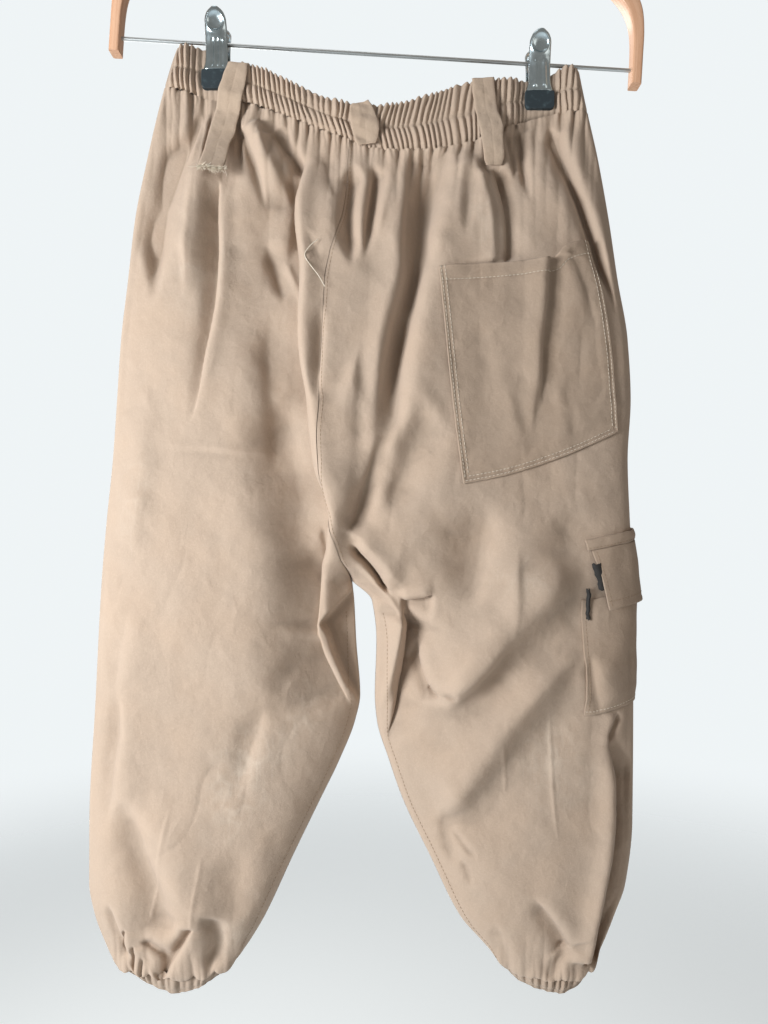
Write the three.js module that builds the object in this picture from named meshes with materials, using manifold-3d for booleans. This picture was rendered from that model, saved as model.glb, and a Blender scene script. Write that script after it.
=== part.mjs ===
// Jogger pants clipped to a trouser hanger. Millimetres, +Z up.
// The origin is the inner top of the hanger's hook. The garment's back faces -Y and its front +Y.
import * as THREE from 'three'
import Module from 'manifold-3d'
import { mergeVertices } from 'three/addons/utils/BufferGeometryUtils.js'

const wasm = await Module()
wasm.setup()

// ---- driving dimensions ----
const SEAM = 0.3              // gap between two pieces that are sewn together
const PANEL_WALL = 2          // cloth of the legs
const BAND_WALL = 2.6         // folded casing with its elastic
const HEM_WALL = 2.2
const POCKET_WALL = 1.6       // pocket cloth with its turned edges
const POCKET_LIFT = 0.7       // the pocket's edges off the panel
const LOOP_WALL = 1.6
const CROTCH_Z = -562.7       // where the two legs part
const CROTCH_RISE = 95        // height over which the leg tubes open into the hips
const BAND_HALF = 8.5         // half the depth of the free waistband loop
const BAND_CLIPPED = 3.5      // the same where a clip squeezes it
const GATHER_HEIGHT = 1.5
const BAND_GATHERS = 60       // on each half of the waistband
const HEM_GATHERS = 14
const BAR_DIAMETER = 2.8
const BAR_Z = -165            // bar centre below the hook's seat
const BAR_X = -10.4           // the bar's middle, left of the seat
const HANGER_TILT = -3.6      // degrees, the right end hangs lower
const HANGER_WIDTH = 400
const HANGER_DEPTH = 12
const HOOK_WIRE = 3.6
const HOOK_RADIUS = 20        // inner radius of the hook

const table = (names, rows) => {
  const keys = names.split(' ')
  return rows.map(row => Object.fromEntries(row.map((value, i) => [keys[i], value])))
}
const clamp = (v, lo, hi) => Math.min(Math.max(v, lo), hi)
const mix = (a, b, t) => a + (b - a) * t
const ramp = (a, b, v) => { const t = clamp((v - a) / (b - a), 0, 1); return t * t * (3 - 2 * t) }

// a smooth curve through one column of a table, with no overshoot
function curve(rows, from, to) {
  const list = [...rows].sort((p, q) => p[from] - q[from])
  const x = list.map(r => r[from]), y = list.map(r => r[to]), last = x.length - 1
  const rise = i => (y[i + 1] - y[i]) / (x[i + 1] - x[i])
  const slope = x.map((_, i) => {
    if (i === 0) return rise(0)
    if (i === last) return rise(last - 1)
    const a = rise(i - 1), b = rise(i)
    return a * b <= 0 ? 0 : 2 * a * b / (a + b)
  })
  return v => {
    if (v <= x[0]) return y[0] + slope[0] * (v - x[0])
    if (v >= x[last]) return y[last] + slope[last] * (v - x[last])
    let i = 0
    while (v > x[i + 1]) i++
    const w = x[i + 1] - x[i], t = (v - x[i]) / w, s = 1 - t
    return y[i] * s * s * (1 + 2 * t) + slope[i] * w * t * s * s +
      y[i + 1] * t * t * (1 + 2 * s) - slope[i + 1] * w * s * t * t
  }
}

// ---- the garment's outline: a row for each section ----
const SIDES = table('z left right', [
  [-159, -159.7, 139.6],
  [-183, -167.2, 143.3],
  [-209, -174.4, 148.6],
  [-245, -183.0, 156.9],
  [-290, -192.1, 165.2],
  [-336, -197.4, 172.0],
  [-381, -202.6, 179.5],
  [-426, -205.6, 181.8],
  [-471, -208.7, 179.5],
  [-516, -213.2, 181.0],
  [-562, -216.9, 183.3],
  [-652, -221.5, 183.3],
  [-743, -226.0, 182.5],
  [-788, -226.0, 177.2],
  [-810, -222.2, 169.7],
  [-833, -213.9, 160.7],
  [-852, -202.6, 150.9],
  [-866, -194.0, 145.0],
])
const CENTRE_SEAM = table('z x', [
  [-200, -28],
  [-226, -29.7],
  [-284, -34.1],
  [-343, -45.6],
  [-393, -47.1],
  [-458, -44.9],
  [-516, -39.8],
  [CROTCH_Z, -28.3],
])
const INNER_LEGS = table('z left right', [
  [CROTCH_Z, -28.5, -28.1],
  [-577, -27.0, -13.4],
  [-607, -25.5, -10.0],
  [-648, -22.5, -11.2],
  [-667, -26.2, -9.7],
  [-697, -38.0, -0.6],
  [-727, -52.6, 10.0],
  [-769, -73.0, 30.2],
  [-814, -94.0, 52.8],
  [-831, -104.0, 67.8],
  [-852, -119.0, 87.0],
  [-866, -128.0, 97.0],
])
const DEPTHS = table('z back front', [
  [-200, 16, 15],
  [-290, 25, 19],
  [-400, 29, 21],
  [-560, 30, 21],
  [-700, 29, 20],
  [-780, 29, 20],
  [-830, 22, 16],
  [-852, 15, 12],
  [-866, 12, 10],
])
// top and bottom edges of the waistband
const BAND = table('x top bottom', [
  [-160, -163.3, -193.7],
  [-138, -163.3, -198.1],
  [-119, -173.8, -201.9],
  [-104, -178.2, -204.8],
  [-82, -187.2, -212.3],
  [-67, -194.6, -218.2],
  [-37, -205.8, -229.4],
  [-11, -208.8, -239.0],
  [8, -206.5, -240.5],
  [30, -200.6, -239.8],
  [52, -193.1, -236.8],
  [75, -189.4, -229.4],
  [97, -187.6, -219.0],
  [116, -184.4, -213.8],
  [130, -179.0, -210.8],
  [140, -180.2, -210.8],
])
// the hem casings: where the leg meets them and where they end
const HEMS = {
  left: table('x top bottom', [
    [-206, -844.0, -850.0],
    [-194, -846.0, -854.0],
    [-178, -848.0, -860.5],
    [-157, -849.0, -864.4],
    [-141, -847.5, -861.5],
    [-119, -842.5, -850.0],
    [-112, -841.0, -846.5],
  ]),
  right: table('x top bottom', [
    [84, -845.0, -852.0],
    [93, -846.5, -857.0],
    [111, -848.0, -861.5],
    [126, -848.5, -863.5],
    [137, -848.0, -861.0],
    [146, -846.0, -856.0],
    [153, -844.5, -851.0],
  ]),
}
// the largest folds. Each runs from (x0, z0) to (x1, z1), bowed to its right. Its profile falls away over
// wl on its left and wr on its right, h is its height (minus for a valley), and it fades out over the
// shares f0 and f1 of its length.
const FOLD_COLUMNS = 'x0 z0 x1 z1 bow wl wr h f0 f1'
const BACK_FOLDS = table(FOLD_COLUMNS, [
  [-148.5, -194, -162, -306, 0, 5.8, 3, -4.5, 0.05, 0.35],
  [-127.5, -252, -147.5, -440, 10, 6.5, 4, -6, 0.15, 0.25],
  [-107.9, -204, -92.6, -278, 2, 5, 4.5, -5, 0.1, 0.4],
  [-65.9, -245, -41.3, -516, -5, 15.9, 5, -13, 0.15, 0.08],
  [-28, -250, -28.3, -346, -3, 5.5, 4.5, -4, 0.25, 0.3],
  [-6.6, -233, -16, -321, 3.6, 6, 4.5, -5, 0.1, 0.35],
  [31.3, -241, 10.1, -409, 6.5, 14.5, 5, -12, 0.12, 0.2],
  [7.9, -386, 30.3, -567, -5, 21.7, 6, -10, 0.2, 0.1],
  [87.2, -213, 99, -318, 3, 11.6, 6, -9, 0.08, 0.1],
  [123.9, -212, 176.1, -360, 1.4, 5.5, 5, -9, 0.12, 0.3],
  [124.3, -513, 70.8, -614, 0, 8.7, 11.6, 4, 0.25, 0.3],
  [4.3, -572, 30.3, -575, 1.4, 12, 6, -6, 0.2, 0.3],
  [29.6, -574, 5.7, -677, -1.4, 11.6, 6, -8, 0.12, 0.3],
  [34.6, -649, 133.7, -580, 0, 6, 8, -4, 0.1, 0.4],
  [128.6, -612, 34.6, -727, 0, 13, 8, 5, 0.15, 0.05],
  [152.5, -624, 57.8, -746, 0, 11.6, 15.9, -5, 0.3, 0.2],
  [49.1, -746, 60.3, -795, -2, 6, 5, -4, 0.2, 0.3],
  [170, -675, 153.4, -850, 3.6, 5, 4.5, -9, 0.15, 0.1],
  [-198.5, -680, -222.2, -749, 2, 6, 5, -4, 0.2, 0.1],
  [-164.2, -763, -160.1, -825, 3, 5, 7, -5, 0.25, 0.2],
  [-135.8, -795, -135.9, -846, 5.8, 5, 5, -6, 0.2, 0.2],
])
const FRONT_FOLDS = table(FOLD_COLUMNS, [
  [-120, -215, -140, -390, 6, 10, 8, -5, 0.15, 0.3],
  [-75, -225, -62, -420, -5, 12, 8, -7, 0.15, 0.3],
  [5, -240, -12, -430, 5, 9, 11, -7, 0.15, 0.3],
  [60, -235, 72, -400, 4, 10, 8, -6, 0.15, 0.3],
  [118, -215, 142, -350, 3, 8, 7, -5, 0.15, 0.3],
  [-60, -560, -120, -660, 4, 12, 9, -6, 0.2, 0.4],
  [10, -585, 70, -680, -4, 9, 12, -6, 0.2, 0.4],
  [-180, -700, -165, -840, 0, 9, 9, -4, 0.3, 0.2],
  [125, -710, 112, -840, 0, 9, 9, -4, 0.3, 0.2],
])
const CLIPS = table('name x top pad_top pad_bottom', [
  ['left', -129.6, -137.6, -180.2, -194.6],
  ['right', 111.8, -153.9, -196.2, -209.6],
])

const sideAt = { left: curve(SIDES, 'z', 'left'), right: curve(SIDES, 'z', 'right') }
const innerAt = { left: curve(INNER_LEGS, 'z', 'left'), right: curve(INNER_LEGS, 'z', 'right') }
const seamAt = curve(CENTRE_SEAM, 'z', 'x')
const depthAt = { back: curve(DEPTHS, 'z', 'back'), front: curve(DEPTHS, 'z', 'front') }
const bandAt = { top: curve(BAND, 'x', 'top'), bottom: curve(BAND, 'x', 'bottom') }
const hemAt = {
  left: { top: curve(HEMS.left, 'x', 'top'), bottom: curve(HEMS.left, 'x', 'bottom') },
  right: { top: curve(HEMS.right, 'x', 'top'), bottom: curve(HEMS.right, 'x', 'bottom') },
}
const legs = ['left', 'right']
const inward = { left: 1, right: -1 }       // from a leg's side seam towards the middle
const outward = { back: -1, front: 1 }      // the sense of y on each half

// ---- the shared form of the garment ----
const squeezed = (x, reach, power) =>
  Math.max(...CLIPS.map(clip => Math.exp(-(Math.abs((x - clip.x) / reach) ** power))))
const bandHalf = x => mix(BAND_HALF, BAND_CLIPPED, squeezed(x, 19, 8))
const roundEnd = (distance, radius) => Math.sqrt(1 - (1 - clamp(distance / radius, 0, 1)) ** 2)

function folds(rows, x, z) {
  let sum = 0
  for (const f of rows) {
    const dx = f.x1 - f.x0, dz = f.z1 - f.z0, length = Math.hypot(dx, dz)
    const t = ((x - f.x0) * dx + (z - f.z0) * dz) / (length * length)
    if (t <= 0 || t >= 1) continue
    const across = (-(x - f.x0) * dz + (z - f.z0) * dx) / length - f.bow * 4 * t * (1 - t)
    const width = across < 0 ? f.wl : f.wr
    sum += f.h * Math.exp(-((across / width) ** 2)) * ramp(0, f.f0, t) * ramp(1, 1 - f.f1, t)
  }
  return sum
}

// share of the way from hips in one tube (0) to legs in two (1)
const parted = z => {
  const t = clamp((z - CROTCH_Z) / CROTCH_RISE, 0, 1)
  return z <= CROTCH_Z ? 1 : 1 - Math.sqrt(1 - (1 - t) ** 2)
}
const legCentre = (leg, z) =>
  z > CROTCH_Z ? seamAt(z) - inward[leg] * SEAM / 2 : innerAt[leg](z)

// distance of a half's surface from the middle plane, inset by the wall for the inside
function depth(half, leg, x, z, inset) {
  const side = sideAt[leg](z) + inward[leg] * inset, centre = legCentre(leg, z)
  const open = parted(z)
  const inner = centre - inward[leg] * inset * open
  const a = clamp((x - side) / (inner - side), 0, 1)
  const whole = Math.sqrt(1 - (1 - a) ** 2.2)
  const tube = Math.sqrt(Math.max(0, 1 - Math.abs(2 * a - 1) ** 2.4))
  const below = bandAt.bottom(x) - z
  const pinch = 1 - 0.8 * squeezed(x, 24, 2) * Math.exp(-Math.max(below, 0) / 35)
  const full = (depthAt[half](z) * pinch - inset) * mix(whole, tube, open)
  const flat = (bandHalf(x) - inset) * roundEnd(Math.abs(x - side), 8 - inset)
  const sideShare = ramp(0, 12, Math.abs(x - side))
  const centreShare = mix(1, ramp(0, 12, Math.abs(x - inner)), open)
  const rows = half === 'back' ? BACK_FOLDS : FRONT_FOLDS
  const fold = folds(rows, x, z) * sideShare * centreShare * ramp(0, 10, below)
  return SEAM / 2 + Math.max(mix(flat, full, ramp(0, 80, below)) + fold, 0)
}

// ---- meshes ----
// a closed wall between an outer and an inner grid of points; round the tube when it loops
function wall(columns, rows, outer, inner, loops = false) {
  const across = loops ? columns : columns + 1, down = rows + 1
  const points = [], faces = []
  for (const grid of [outer, inner])
    for (let i = 0; i < across; i++)
      for (let j = 0; j < down; j++) points.push(grid(i, j))
  const at = (layer, i, j) => (layer * across + (i % across)) * down + j
  const quad = (a, b, c, d) => faces.push(a, b, c, a, c, d)
  for (let i = 0; i < columns; i++)
    for (let j = 0; j < rows; j++) {
      quad(at(0, i, j), at(0, i, j + 1), at(0, i + 1, j + 1), at(0, i + 1, j))
      const a = at(1, i, j), b = at(1, i, j + 1), c = at(1, i + 1, j + 1), d = at(1, i + 1, j)
      faces.push(a, c, b, a, d, c)
    }
  for (let i = 0; i < columns; i++) {
    quad(at(0, i, 0), at(0, i + 1, 0), at(1, i + 1, 0), at(1, i, 0))
    quad(at(0, i + 1, rows), at(0, i, rows), at(1, i, rows), at(1, i + 1, rows))
  }
  if (!loops)
    for (let j = 0; j < rows; j++) {
      quad(at(0, 0, j + 1), at(0, 0, j), at(1, 0, j), at(1, 0, j + 1))
      quad(at(0, columns, j), at(0, columns, j + 1), at(1, columns, j + 1), at(1, columns, j))
    }
  return closed(points, faces)
}
function closed(points, faces) {
  let volume = 0
  for (let k = 0; k < faces.length; k += 3) {
    const [a, b, c] = [0, 1, 2].map(n => new THREE.Vector3(...points[faces[k + n]]))
    volume += a.dot(b.cross(c))
  }
  const index = volume > 0 ? faces
    : faces.map((_, k) => faces[k - k % 3 + [0, 2, 1][k % 3]])
  const geometry = new THREE.BufferGeometry()
  geometry.setAttribute('position', new THREE.Float32BufferAttribute(points.flat(), 3))
  geometry.setIndex(index)
  return geometry
}
const cloth = (color = 0xb99c7e) => new THREE.MeshStandardMaterial({ color, roughness: 0.95 })
const materials = {
  cloth: cloth(), pocket: cloth(0xa89079), loop: cloth(0xb39a78),
  wood: new THREE.MeshStandardMaterial({ color: 0xdebba1, roughness: 0.45 }),
  chrome: new THREE.MeshStandardMaterial({ color: 0xd5dadd, roughness: 0.15, metalness: 1 }),
  rubber: new THREE.MeshStandardMaterial({ color: 0x2d3b42, roughness: 0.7 }),
}
const pants = new THREE.Group()
function add(group, name, geometry, material) {
  const mesh = new THREE.Mesh(geometry, materials[material])
  mesh.name = name
  group.add(mesh)
  return mesh
}
// shares of a side closer together towards its round ends
const spread = (i, n, round = 0.6) => mix(i / n, (1 - Math.cos(Math.PI * i / n)) / 2, round)

// ---- the four leg panels ----
const LEG_TOP = -215
const LEG_BOTTOM = -848
function legPoint(half, leg, a, v, inset) {
  const level = mix(LEG_TOP, LEG_BOTTOM, v)
  const topShare = 1 - ramp(0, 0.3, v), bottomShare = ramp(0.75, 1, v)
  let z = level, x = 0
  for (let step = 0; step < 6; step++) {
    const side = sideAt[leg](z) + inward[leg] * inset
    const inner = legCentre(leg, z) - inward[leg] * inset * parted(z)
    x = mix(side, inner, a)
    z = level + topShare * (bandAt.bottom(x) - 2 * SEAM - LEG_TOP) +
      bottomShare * (hemAt[leg].top(x) + SEAM - LEG_BOTTOM)
  }
  return [x, outward[half] * depth(half, leg, x, z, inset), z]
}
const PANELS = table('half columns rows', [
  ['back', 22, 28],
  ['front', 12, 20],
])
for (const { half, columns, rows } of PANELS)
  for (const leg of legs) {
    // one row lies on the crotch
    const share = (CROTCH_Z - LEG_TOP) / (LEG_BOTTOM - LEG_TOP), above = Math.round(rows * share)
    const v = j => j <= above ? share * spread(j, above, 0.3) : mix(share, 1, spread(j - above, rows - above, 0.4))
    const grid = inset => (i, j) => legPoint(half, leg, spread(i, columns), v(j), inset)
    add(pants, `${half}_${leg}`, wall(columns, rows, grid(0), grid(PANEL_WALL)), 'cloth')
  }

// ---- the gathered waistband, in two halves ----
function bandPoint(half, b, v, inset, gather) {
  let x = 0, z = -190
  for (let step = 0; step < 6; step++) {
    x = mix(sideAt.left(z) + inset, sideAt.right(z) - inset, b)
    z = mix(bandAt.top(x), bandAt.bottom(x), v)
  }
  const end = Math.min(x - sideAt.left(z), sideAt.right(z) - x) - inset
  const y = (bandHalf(x) - inset) * roundEnd(end, 8 - inset)
  const relief = gather * ramp(2, 10, end) * (1 - 0.85 * squeezed(x, 19, 8))
  return [x, outward[half] * (SEAM / 2 + y + relief), z]
}
const BAND_ROWS = 2
for (const half of ['back', 'front']) {
  const columns = BAND_GATHERS * 2
  const outer = (i, j) => bandPoint(half, i / columns, j / BAND_ROWS, 0,
    i % 2 ? GATHER_HEIGHT : 0)
  const inner = (i, j) => bandPoint(half, i / columns, j / BAND_ROWS, BAND_WALL, 0)
  add(pants, `waistband_${half}`, wall(columns, BAND_ROWS, outer, inner), 'cloth')
}

// ---- the hem casings, each one gathered ring ----
for (const leg of legs) {
  const columns = HEM_GATHERS * 2
  const ring = (inset, gather) => (i, j) => {
    const half = i < columns / 2 ? 'back' : 'front'
    const share = i < columns / 2 ? i / (columns / 2) : 2 - i / (columns / 2)
    const [x, y, z] = legPoint(half, leg, (1 - Math.cos(Math.PI * share)) / 2, 1, inset)
    const middle = (sideAt[leg](z) + innerAt[leg](z)) / 2
    const relief = gather && i % 2 ? 1 : 0
    const drop = (hemAt[leg].bottom(x) - hemAt[leg].top(x)) * j
    const push = 1 + relief * 0.1
    const on = Math.abs(y) <= SEAM / 2 + 0.01 ? 0 : y - outward[half] * SEAM / 2
    return [middle + (x - middle) * (1 - 0.1 * j), on * (1 - 0.12 * j) * push, z - 2 * SEAM + drop]
  }
  add(pants, `hem_${leg}`, wall(columns, 1, ring(0, true), ring(HEM_WALL, false), true), 'cloth')
}

// ---- the patch pocket on the right seat ----
const POCKET_TOP = table('share z', [[0, -334], [0.66, -326], [0.82, -315], [1, -308.6]])
const POCKET_BOTTOM = table('share z', [[0, -490.2], [0.25, -484.4], [0.62, -470.6], [1, -451.4]])
const POCKET_SIDES = table('share left right', [
  [0, 34.6, 147.7], [0.3, 39.7, 158], [0.6, 44.5, 164], [1, 52.7, 168.9]])
const pocketTop = curve(POCKET_TOP, 'share', 'z'), pocketBottom = curve(POCKET_BOTTOM, 'share', 'z')
const pocketLeft = curve(POCKET_SIDES, 'share', 'left'), pocketRight = curve(POCKET_SIDES, 'share', 'right')
{
  const columns = 14, rows = 12
  const point = lift => (i, j) => {
    const s = i / columns, t = j / rows
    const x = mix(pocketLeft(t), pocketRight(t), s), z = mix(pocketTop(s), pocketBottom(s), t)
    const belly = 3 * Math.sin(Math.PI * s) * Math.sin(Math.PI * Math.min(1, 0.25 + t))
    const ridge = 3.5 * Math.exp(-(((s - 0.6) / 0.07) ** 2)) * (1 - t)
    return [x, -depth('back', 'right', x, z, 0) - POCKET_LIFT - Math.max(belly, 0) - ridge - lift, z]
  }
  add(pants, 'patch_pocket', wall(columns, rows, point(POCKET_WALL), point(0)), 'pocket')
}

// ---- the cargo pocket, wrapped round the right leg's side ----
// a point at a distance u round the leg from its side seam, minus on the back, lifted off the cloth
function aroundSide(u, z, lift) {
  const line = [], reach = 0.75, steps = 80
  for (let k = -steps; k <= steps; k++) {
    const a = reach * Math.abs(k / steps) ** 2.5, half = k < 0 ? 'back' : 'front'
    const x = mix(sideAt.right(z), legCentre('right', z), a)
    line.push(new THREE.Vector2(x, outward[half] * (depth(half, 'right', x, z, 0) - (k === 0 ? SEAM / 2 : 0))))
  }
  let from = steps, way = 0
  const step = u < 0 ? -1 : 1
  while (way < Math.abs(u) && line[from + step]) { way += line[from].distanceTo(line[from + step]); from += step }
  const a = line[clamp(from - 4, 0, 2 * steps)], b = line[clamp(from + 4, 0, 2 * steps)]
  const along = b.clone().sub(a).normalize()
  const over = (way - Math.abs(u)) * -step
  const p = line[from].clone().addScaledVector(along, over)
  return [p.x + along.y * lift, p.y - along.x * lift, z]
}
// u on the back and front, heights at both ends, drop, wall, and how far it stands off at its top and bottom
const CARGO = table('name left right z_left z_right drop wall lift_top lift_bottom rows', [
  ['cargo_pocket', -46, 92, -572, -566, 84, 1.6, 1, 1, 6],
  ['cargo_flap', -39, 96, -539.1, -530.1, 40, 1.6, 1.2, 4.6, 4],
  ['cargo_binding', -42, 98, -530.6, -521.6, 8, 1.8, 1, 1, 1],
])
const CARGO_COLUMNS = 18
const CARGO_FOLD = 6           // the column that lies on the leg's side edge
for (const piece of CARGO) {
  const point = lift => (i, j) => {
    const t = j / piece.rows
    const u = i < CARGO_FOLD ? piece.left * (1 - i / CARGO_FOLD) ** 1.7
      : piece.right * ((i - CARGO_FOLD) / (CARGO_COLUMNS - CARGO_FOLD)) ** 1.7
    const z = mix(piece.z_left, piece.z_right, Math.min(i / 8, 1)) - piece.drop * t
    return aroundSide(u, z, mix(piece.lift_top, piece.lift_bottom, t) + lift)
  }
  add(pants, piece.name, wall(CARGO_COLUMNS, piece.rows, point(piece.wall), point(0)), 'pocket')
}

// ---- belt loops: strips along a middle line, each row with its width and how far it stands off the cloth ----
const LOOP_COLUMNS = 'x z width clear'
const LOOPS = {
  belt_loop_left: table(LOOP_COLUMNS, [
    [-109.5, -178.5, 17, 0.8], [-111.5, -188, 17, 0.8], [-114.6, -200, 17, 0.8],
    [-118.5, -213, 17, 1.2], [-122.1, -225.5, 17.5, 2], [-124.5, -246.5, 17, 3.5], [-126.6, -263.9, 18, 4],
  ]),
  belt_loop_centre: table(LOOP_COLUMNS, [
    [-21.4, -208, 17, 0.6], [-21.4, -219, 17, 0.8], [-21.4, -230, 17, 0.8], [-21.4, -238.5, 17, 0.8],
  ]),
  belt_loop_right: table(LOOP_COLUMNS, [
    [70.3, -191.5, 17.5, 0.6], [70.8, -203, 17, 0.8], [71.2, -214, 16.5, 1.5],
    [73.5, -229.8, 17, 3.5], [74.2, -242, 17.5, 3], [74.6, -253.7, 17.5, 1.5],
  ]),
  belt_loop_front_left: table(LOOP_COLUMNS, [
    [-95, -184, 17, 0.6], [-95, -200, 17, 1.5], [-95, -216, 17, 1.5], [-95, -232, 17, 0.8],
  ]),
  belt_loop_front_right: table(LOOP_COLUMNS, [
    [62, -193, 17, 0.6], [62, -209, 17, 1.5], [62, -225, 17, 1.5], [62, -241, 17, 0.8],
  ]),
}
// the outermost cloth near a point, over the reach of a strip
function clothDepth(half, x, z, reach) {
  let most = 0
  for (const dx of [-reach, -reach / 2, 0, reach / 2, reach])
    for (const dz of [-5, 0, 5]) {
      const level = z + dz, leg = x + dx < seamAt(Math.min(level, -200)) ? 'left' : 'right'
      const here = level > bandAt.bottom(x + dx) - 1 ? SEAM / 2 + bandHalf(x + dx) + GATHER_HEIGHT
        : depth(half, leg, x + dx, level, 0)
      most = Math.max(most, here)
    }
  return most
}
for (const [name, line] of Object.entries(LOOPS)) {
  const half = name.includes('front') ? 'front' : 'back'
  const out = line.map(row => clothDepth(half, row.x, row.z, row.width / 2) + row.clear)
  const point = lift => (i, j) => {
    const row = line[j], before = line[Math.max(j - 1, 0)], after = line[Math.min(j + 1, line.length - 1)]
    const lean = new THREE.Vector2(after.x - before.x, after.z - before.z).normalize()
    const off = (i / 2 - 0.5) * row.width
    return [row.x - lean.y * off, outward[half] * (out[j] + lift), row.z + lean.x * off]
  }
  add(pants, name, wall(2, line.length - 1, point(LOOP_WALL), point(0)), 'loop')
}

// ---- the hanger, turned about its hook's seat ----
const hanger = new THREE.Group()
hanger.rotation.y = THREE.MathUtils.degToRad(-HANGER_TILT)
// bar centre in the hanger's own frame
const tilt = THREE.MathUtils.degToRad(HANGER_TILT)
const barX = BAR_X * Math.cos(tilt) + BAR_Z * Math.sin(tilt)
const barZ = BAR_Z * Math.cos(tilt) - BAR_X * Math.sin(tilt)
// half of the bent wood, from the tip to the middle: the spine from the bar's middle, and the wood's width
const ARM = table('x z width', [
  [196.2, -12, 7.5],
  [196.2, 8, 7.5],
  [195.9, 28, 8.5],
  [192.5, 45, 11],
  [182, 60, 13],
  [165, 71, 13.5],
  [135, 80, 14],
  [95, 88, 15],
  [50, 95, 16],
  [0, 98, 17],
])
function armsGeometry() {
  const right = ARM.map(r => ({ ...r })), left = ARM.slice(0, -1).map(r => ({ ...r, x: -r.x })).reverse()
  const spine = [...right, ...left]
  const edge = side => spine.map((r, k) => {
    const a = spine[Math.max(k - 1, 0)], b = spine[Math.min(k + 1, spine.length - 1)]
    const along = new THREE.Vector2(b.x - a.x, b.z - a.z).normalize()
    return new THREE.Vector2(r.x + along.y * side * r.width / 2, r.z - along.x * side * r.width / 2)
  })
  const shape = new THREE.Shape([...edge(1), ...edge(-1).reverse()])
  const wood = new THREE.ExtrudeGeometry(shape, { depth: HANGER_DEPTH, bevelEnabled: false })
  wood.translate(0, 0, -HANGER_DEPTH / 2).rotateX(Math.PI / 2)
  return wood
}
function solid(geometry) {
  const g = geometry.clone()
  g.deleteAttribute('normal')
  g.deleteAttribute('uv')
  const merged = mergeVertices(g.index ? g.toNonIndexed() : g, 1e-4)
  return new wasm.Manifold(new wasm.Mesh({
    numProp: 3,
    vertProperties: new Float32Array(merged.attributes.position.array),
    triVerts: new Uint32Array(merged.index.array),
  }))
}
function toGeometry(manifold) {
  const mesh = manifold.getMesh(), geometry = new THREE.BufferGeometry()
  geometry.setAttribute('position', new THREE.BufferAttribute(new Float32Array(mesh.vertProperties), 3))
  geometry.setIndex([...mesh.triVerts])
  return geometry
}
const rod = (diameter, length, sides = 12) =>
  new THREE.CylinderGeometry(diameter / 2, diameter / 2, length, sides).rotateZ(Math.PI / 2)
const SOCKET_DEPTH = 4
const barLength = HANGER_WIDTH - 2 * 7.5 + 2 * (SOCKET_DEPTH - 0.5)
const HOOK_ROOT = 8
const shank = new THREE.CylinderGeometry(HOOK_WIRE / 2 + 0.3, HOOK_WIRE / 2 + 0.3, 2 * HOOK_ROOT, 12)
  .rotateX(Math.PI / 2).translate(0, 0, 98 + 17 / 2)
const wood = solid(armsGeometry())
  .subtract(solid(rod(BAR_DIAMETER + 0.6, barLength + 1)))
  .subtract(solid(shank))
add(hanger, 'hanger_arms', toGeometry(wood).translate(barX, 0, barZ), 'wood')
add(hanger, 'hanger_bar', rod(BAR_DIAMETER, barLength).translate(barX, 0, barZ), 'chrome')

// the hook: a straight shank, a reach to one side and a half circle over the origin
const hookRoot = barZ + 98 + 17 / 2 - HOOK_ROOT + 0.6
const hookCurve = new THREE.CurvePath()
const wireRadius = HOOK_RADIUS + HOOK_WIRE / 2
const hookPoints = [0, 4, 8, 12].map(rise => new THREE.Vector3(barX, 0, hookRoot + rise))
for (let k = 0; k <= 16; k++) {
  const angle = THREE.MathUtils.degToRad(-55 + k * 235 / 16)
  hookPoints.push(new THREE.Vector3(Math.cos(angle) * wireRadius, 0, -HOOK_RADIUS + Math.sin(angle) * wireRadius))
}
hookCurve.add(new THREE.CatmullRomCurve3(hookPoints, false, 'centripetal'))
const wireShape = new THREE.Shape()
wireShape.absarc(0, 0, HOOK_WIRE / 2, 0, Math.PI * 2)
const hook = new THREE.ExtrudeGeometry(wireShape, { steps: 30, curveSegments: 3, extrudePath: hookCurve })
add(hanger, 'hanger_hook', hook, 'chrome')
pants.add(hanger)

// ---- the two spring clips ----
const JAW = table('share half out', [
  [0, 3, 12],
  [0.08, 6, 11.2],
  [0.19, 8, 9.6],
  [0.4, 8.4, 6.8],
  [0.6, 8.4, 5.2],
  [0.84, 8.6, 5.2],
  [1, 10.4, 5.0],
])
const JAW_WALL = 1
const PAD_INNER = BAND_CLIPPED + 0.6
for (const clip of CLIPS) {
  const height = clip.top - clip.pad_top - SEAM     // of the metal above the rubber
  for (const half of ['back', 'front']) {
    const sense = outward[half]
    const columns = 6
    const jaw = lift => (i, j) => {
      const row = JAW[j], s = 2 * i / columns - 1
      const channel = 1.8 * (1 - Math.abs(s) ** 3)
      return [clip.x + s * row.half, sense * (row.out + channel + lift), clip.top - row.share * height]
    }
    add(pants, `clip_${clip.name}_jaw_${half}`, wall(columns, JAW.length - 1, jaw(JAW_WALL), jaw(0)), 'chrome')
    const pad = new THREE.BoxGeometry(22, 4.2, clip.pad_top - clip.pad_bottom)
    pad.translate(clip.x, sense * (PAD_INNER + 2.1), (clip.pad_top + clip.pad_bottom) / 2)
    add(pants, `clip_${clip.name}_pad_${half}`, pad, 'rubber')
  }
  const springHole = BAR_DIAMETER + 1.4, springOuter = 12.4
  const ring = new THREE.LatheGeometry([
    [springHole / 2, -4.5], [springOuter / 2, -4.5], [springOuter / 2, 4.5], [springHole / 2, 4.5],
    [springHole / 2, -4.5],
  ].map(p => new THREE.Vector2(...p)), 16)
  ring.rotateZ(-Math.PI / 2).rotateY(-tilt)
  ring.translate(clip.x, 0, BAR_Z + (clip.x - BAR_X) * Math.tan(tilt))
  add(pants, `clip_${clip.name}_spring`, ring, 'chrome')
}

export default pants
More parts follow.
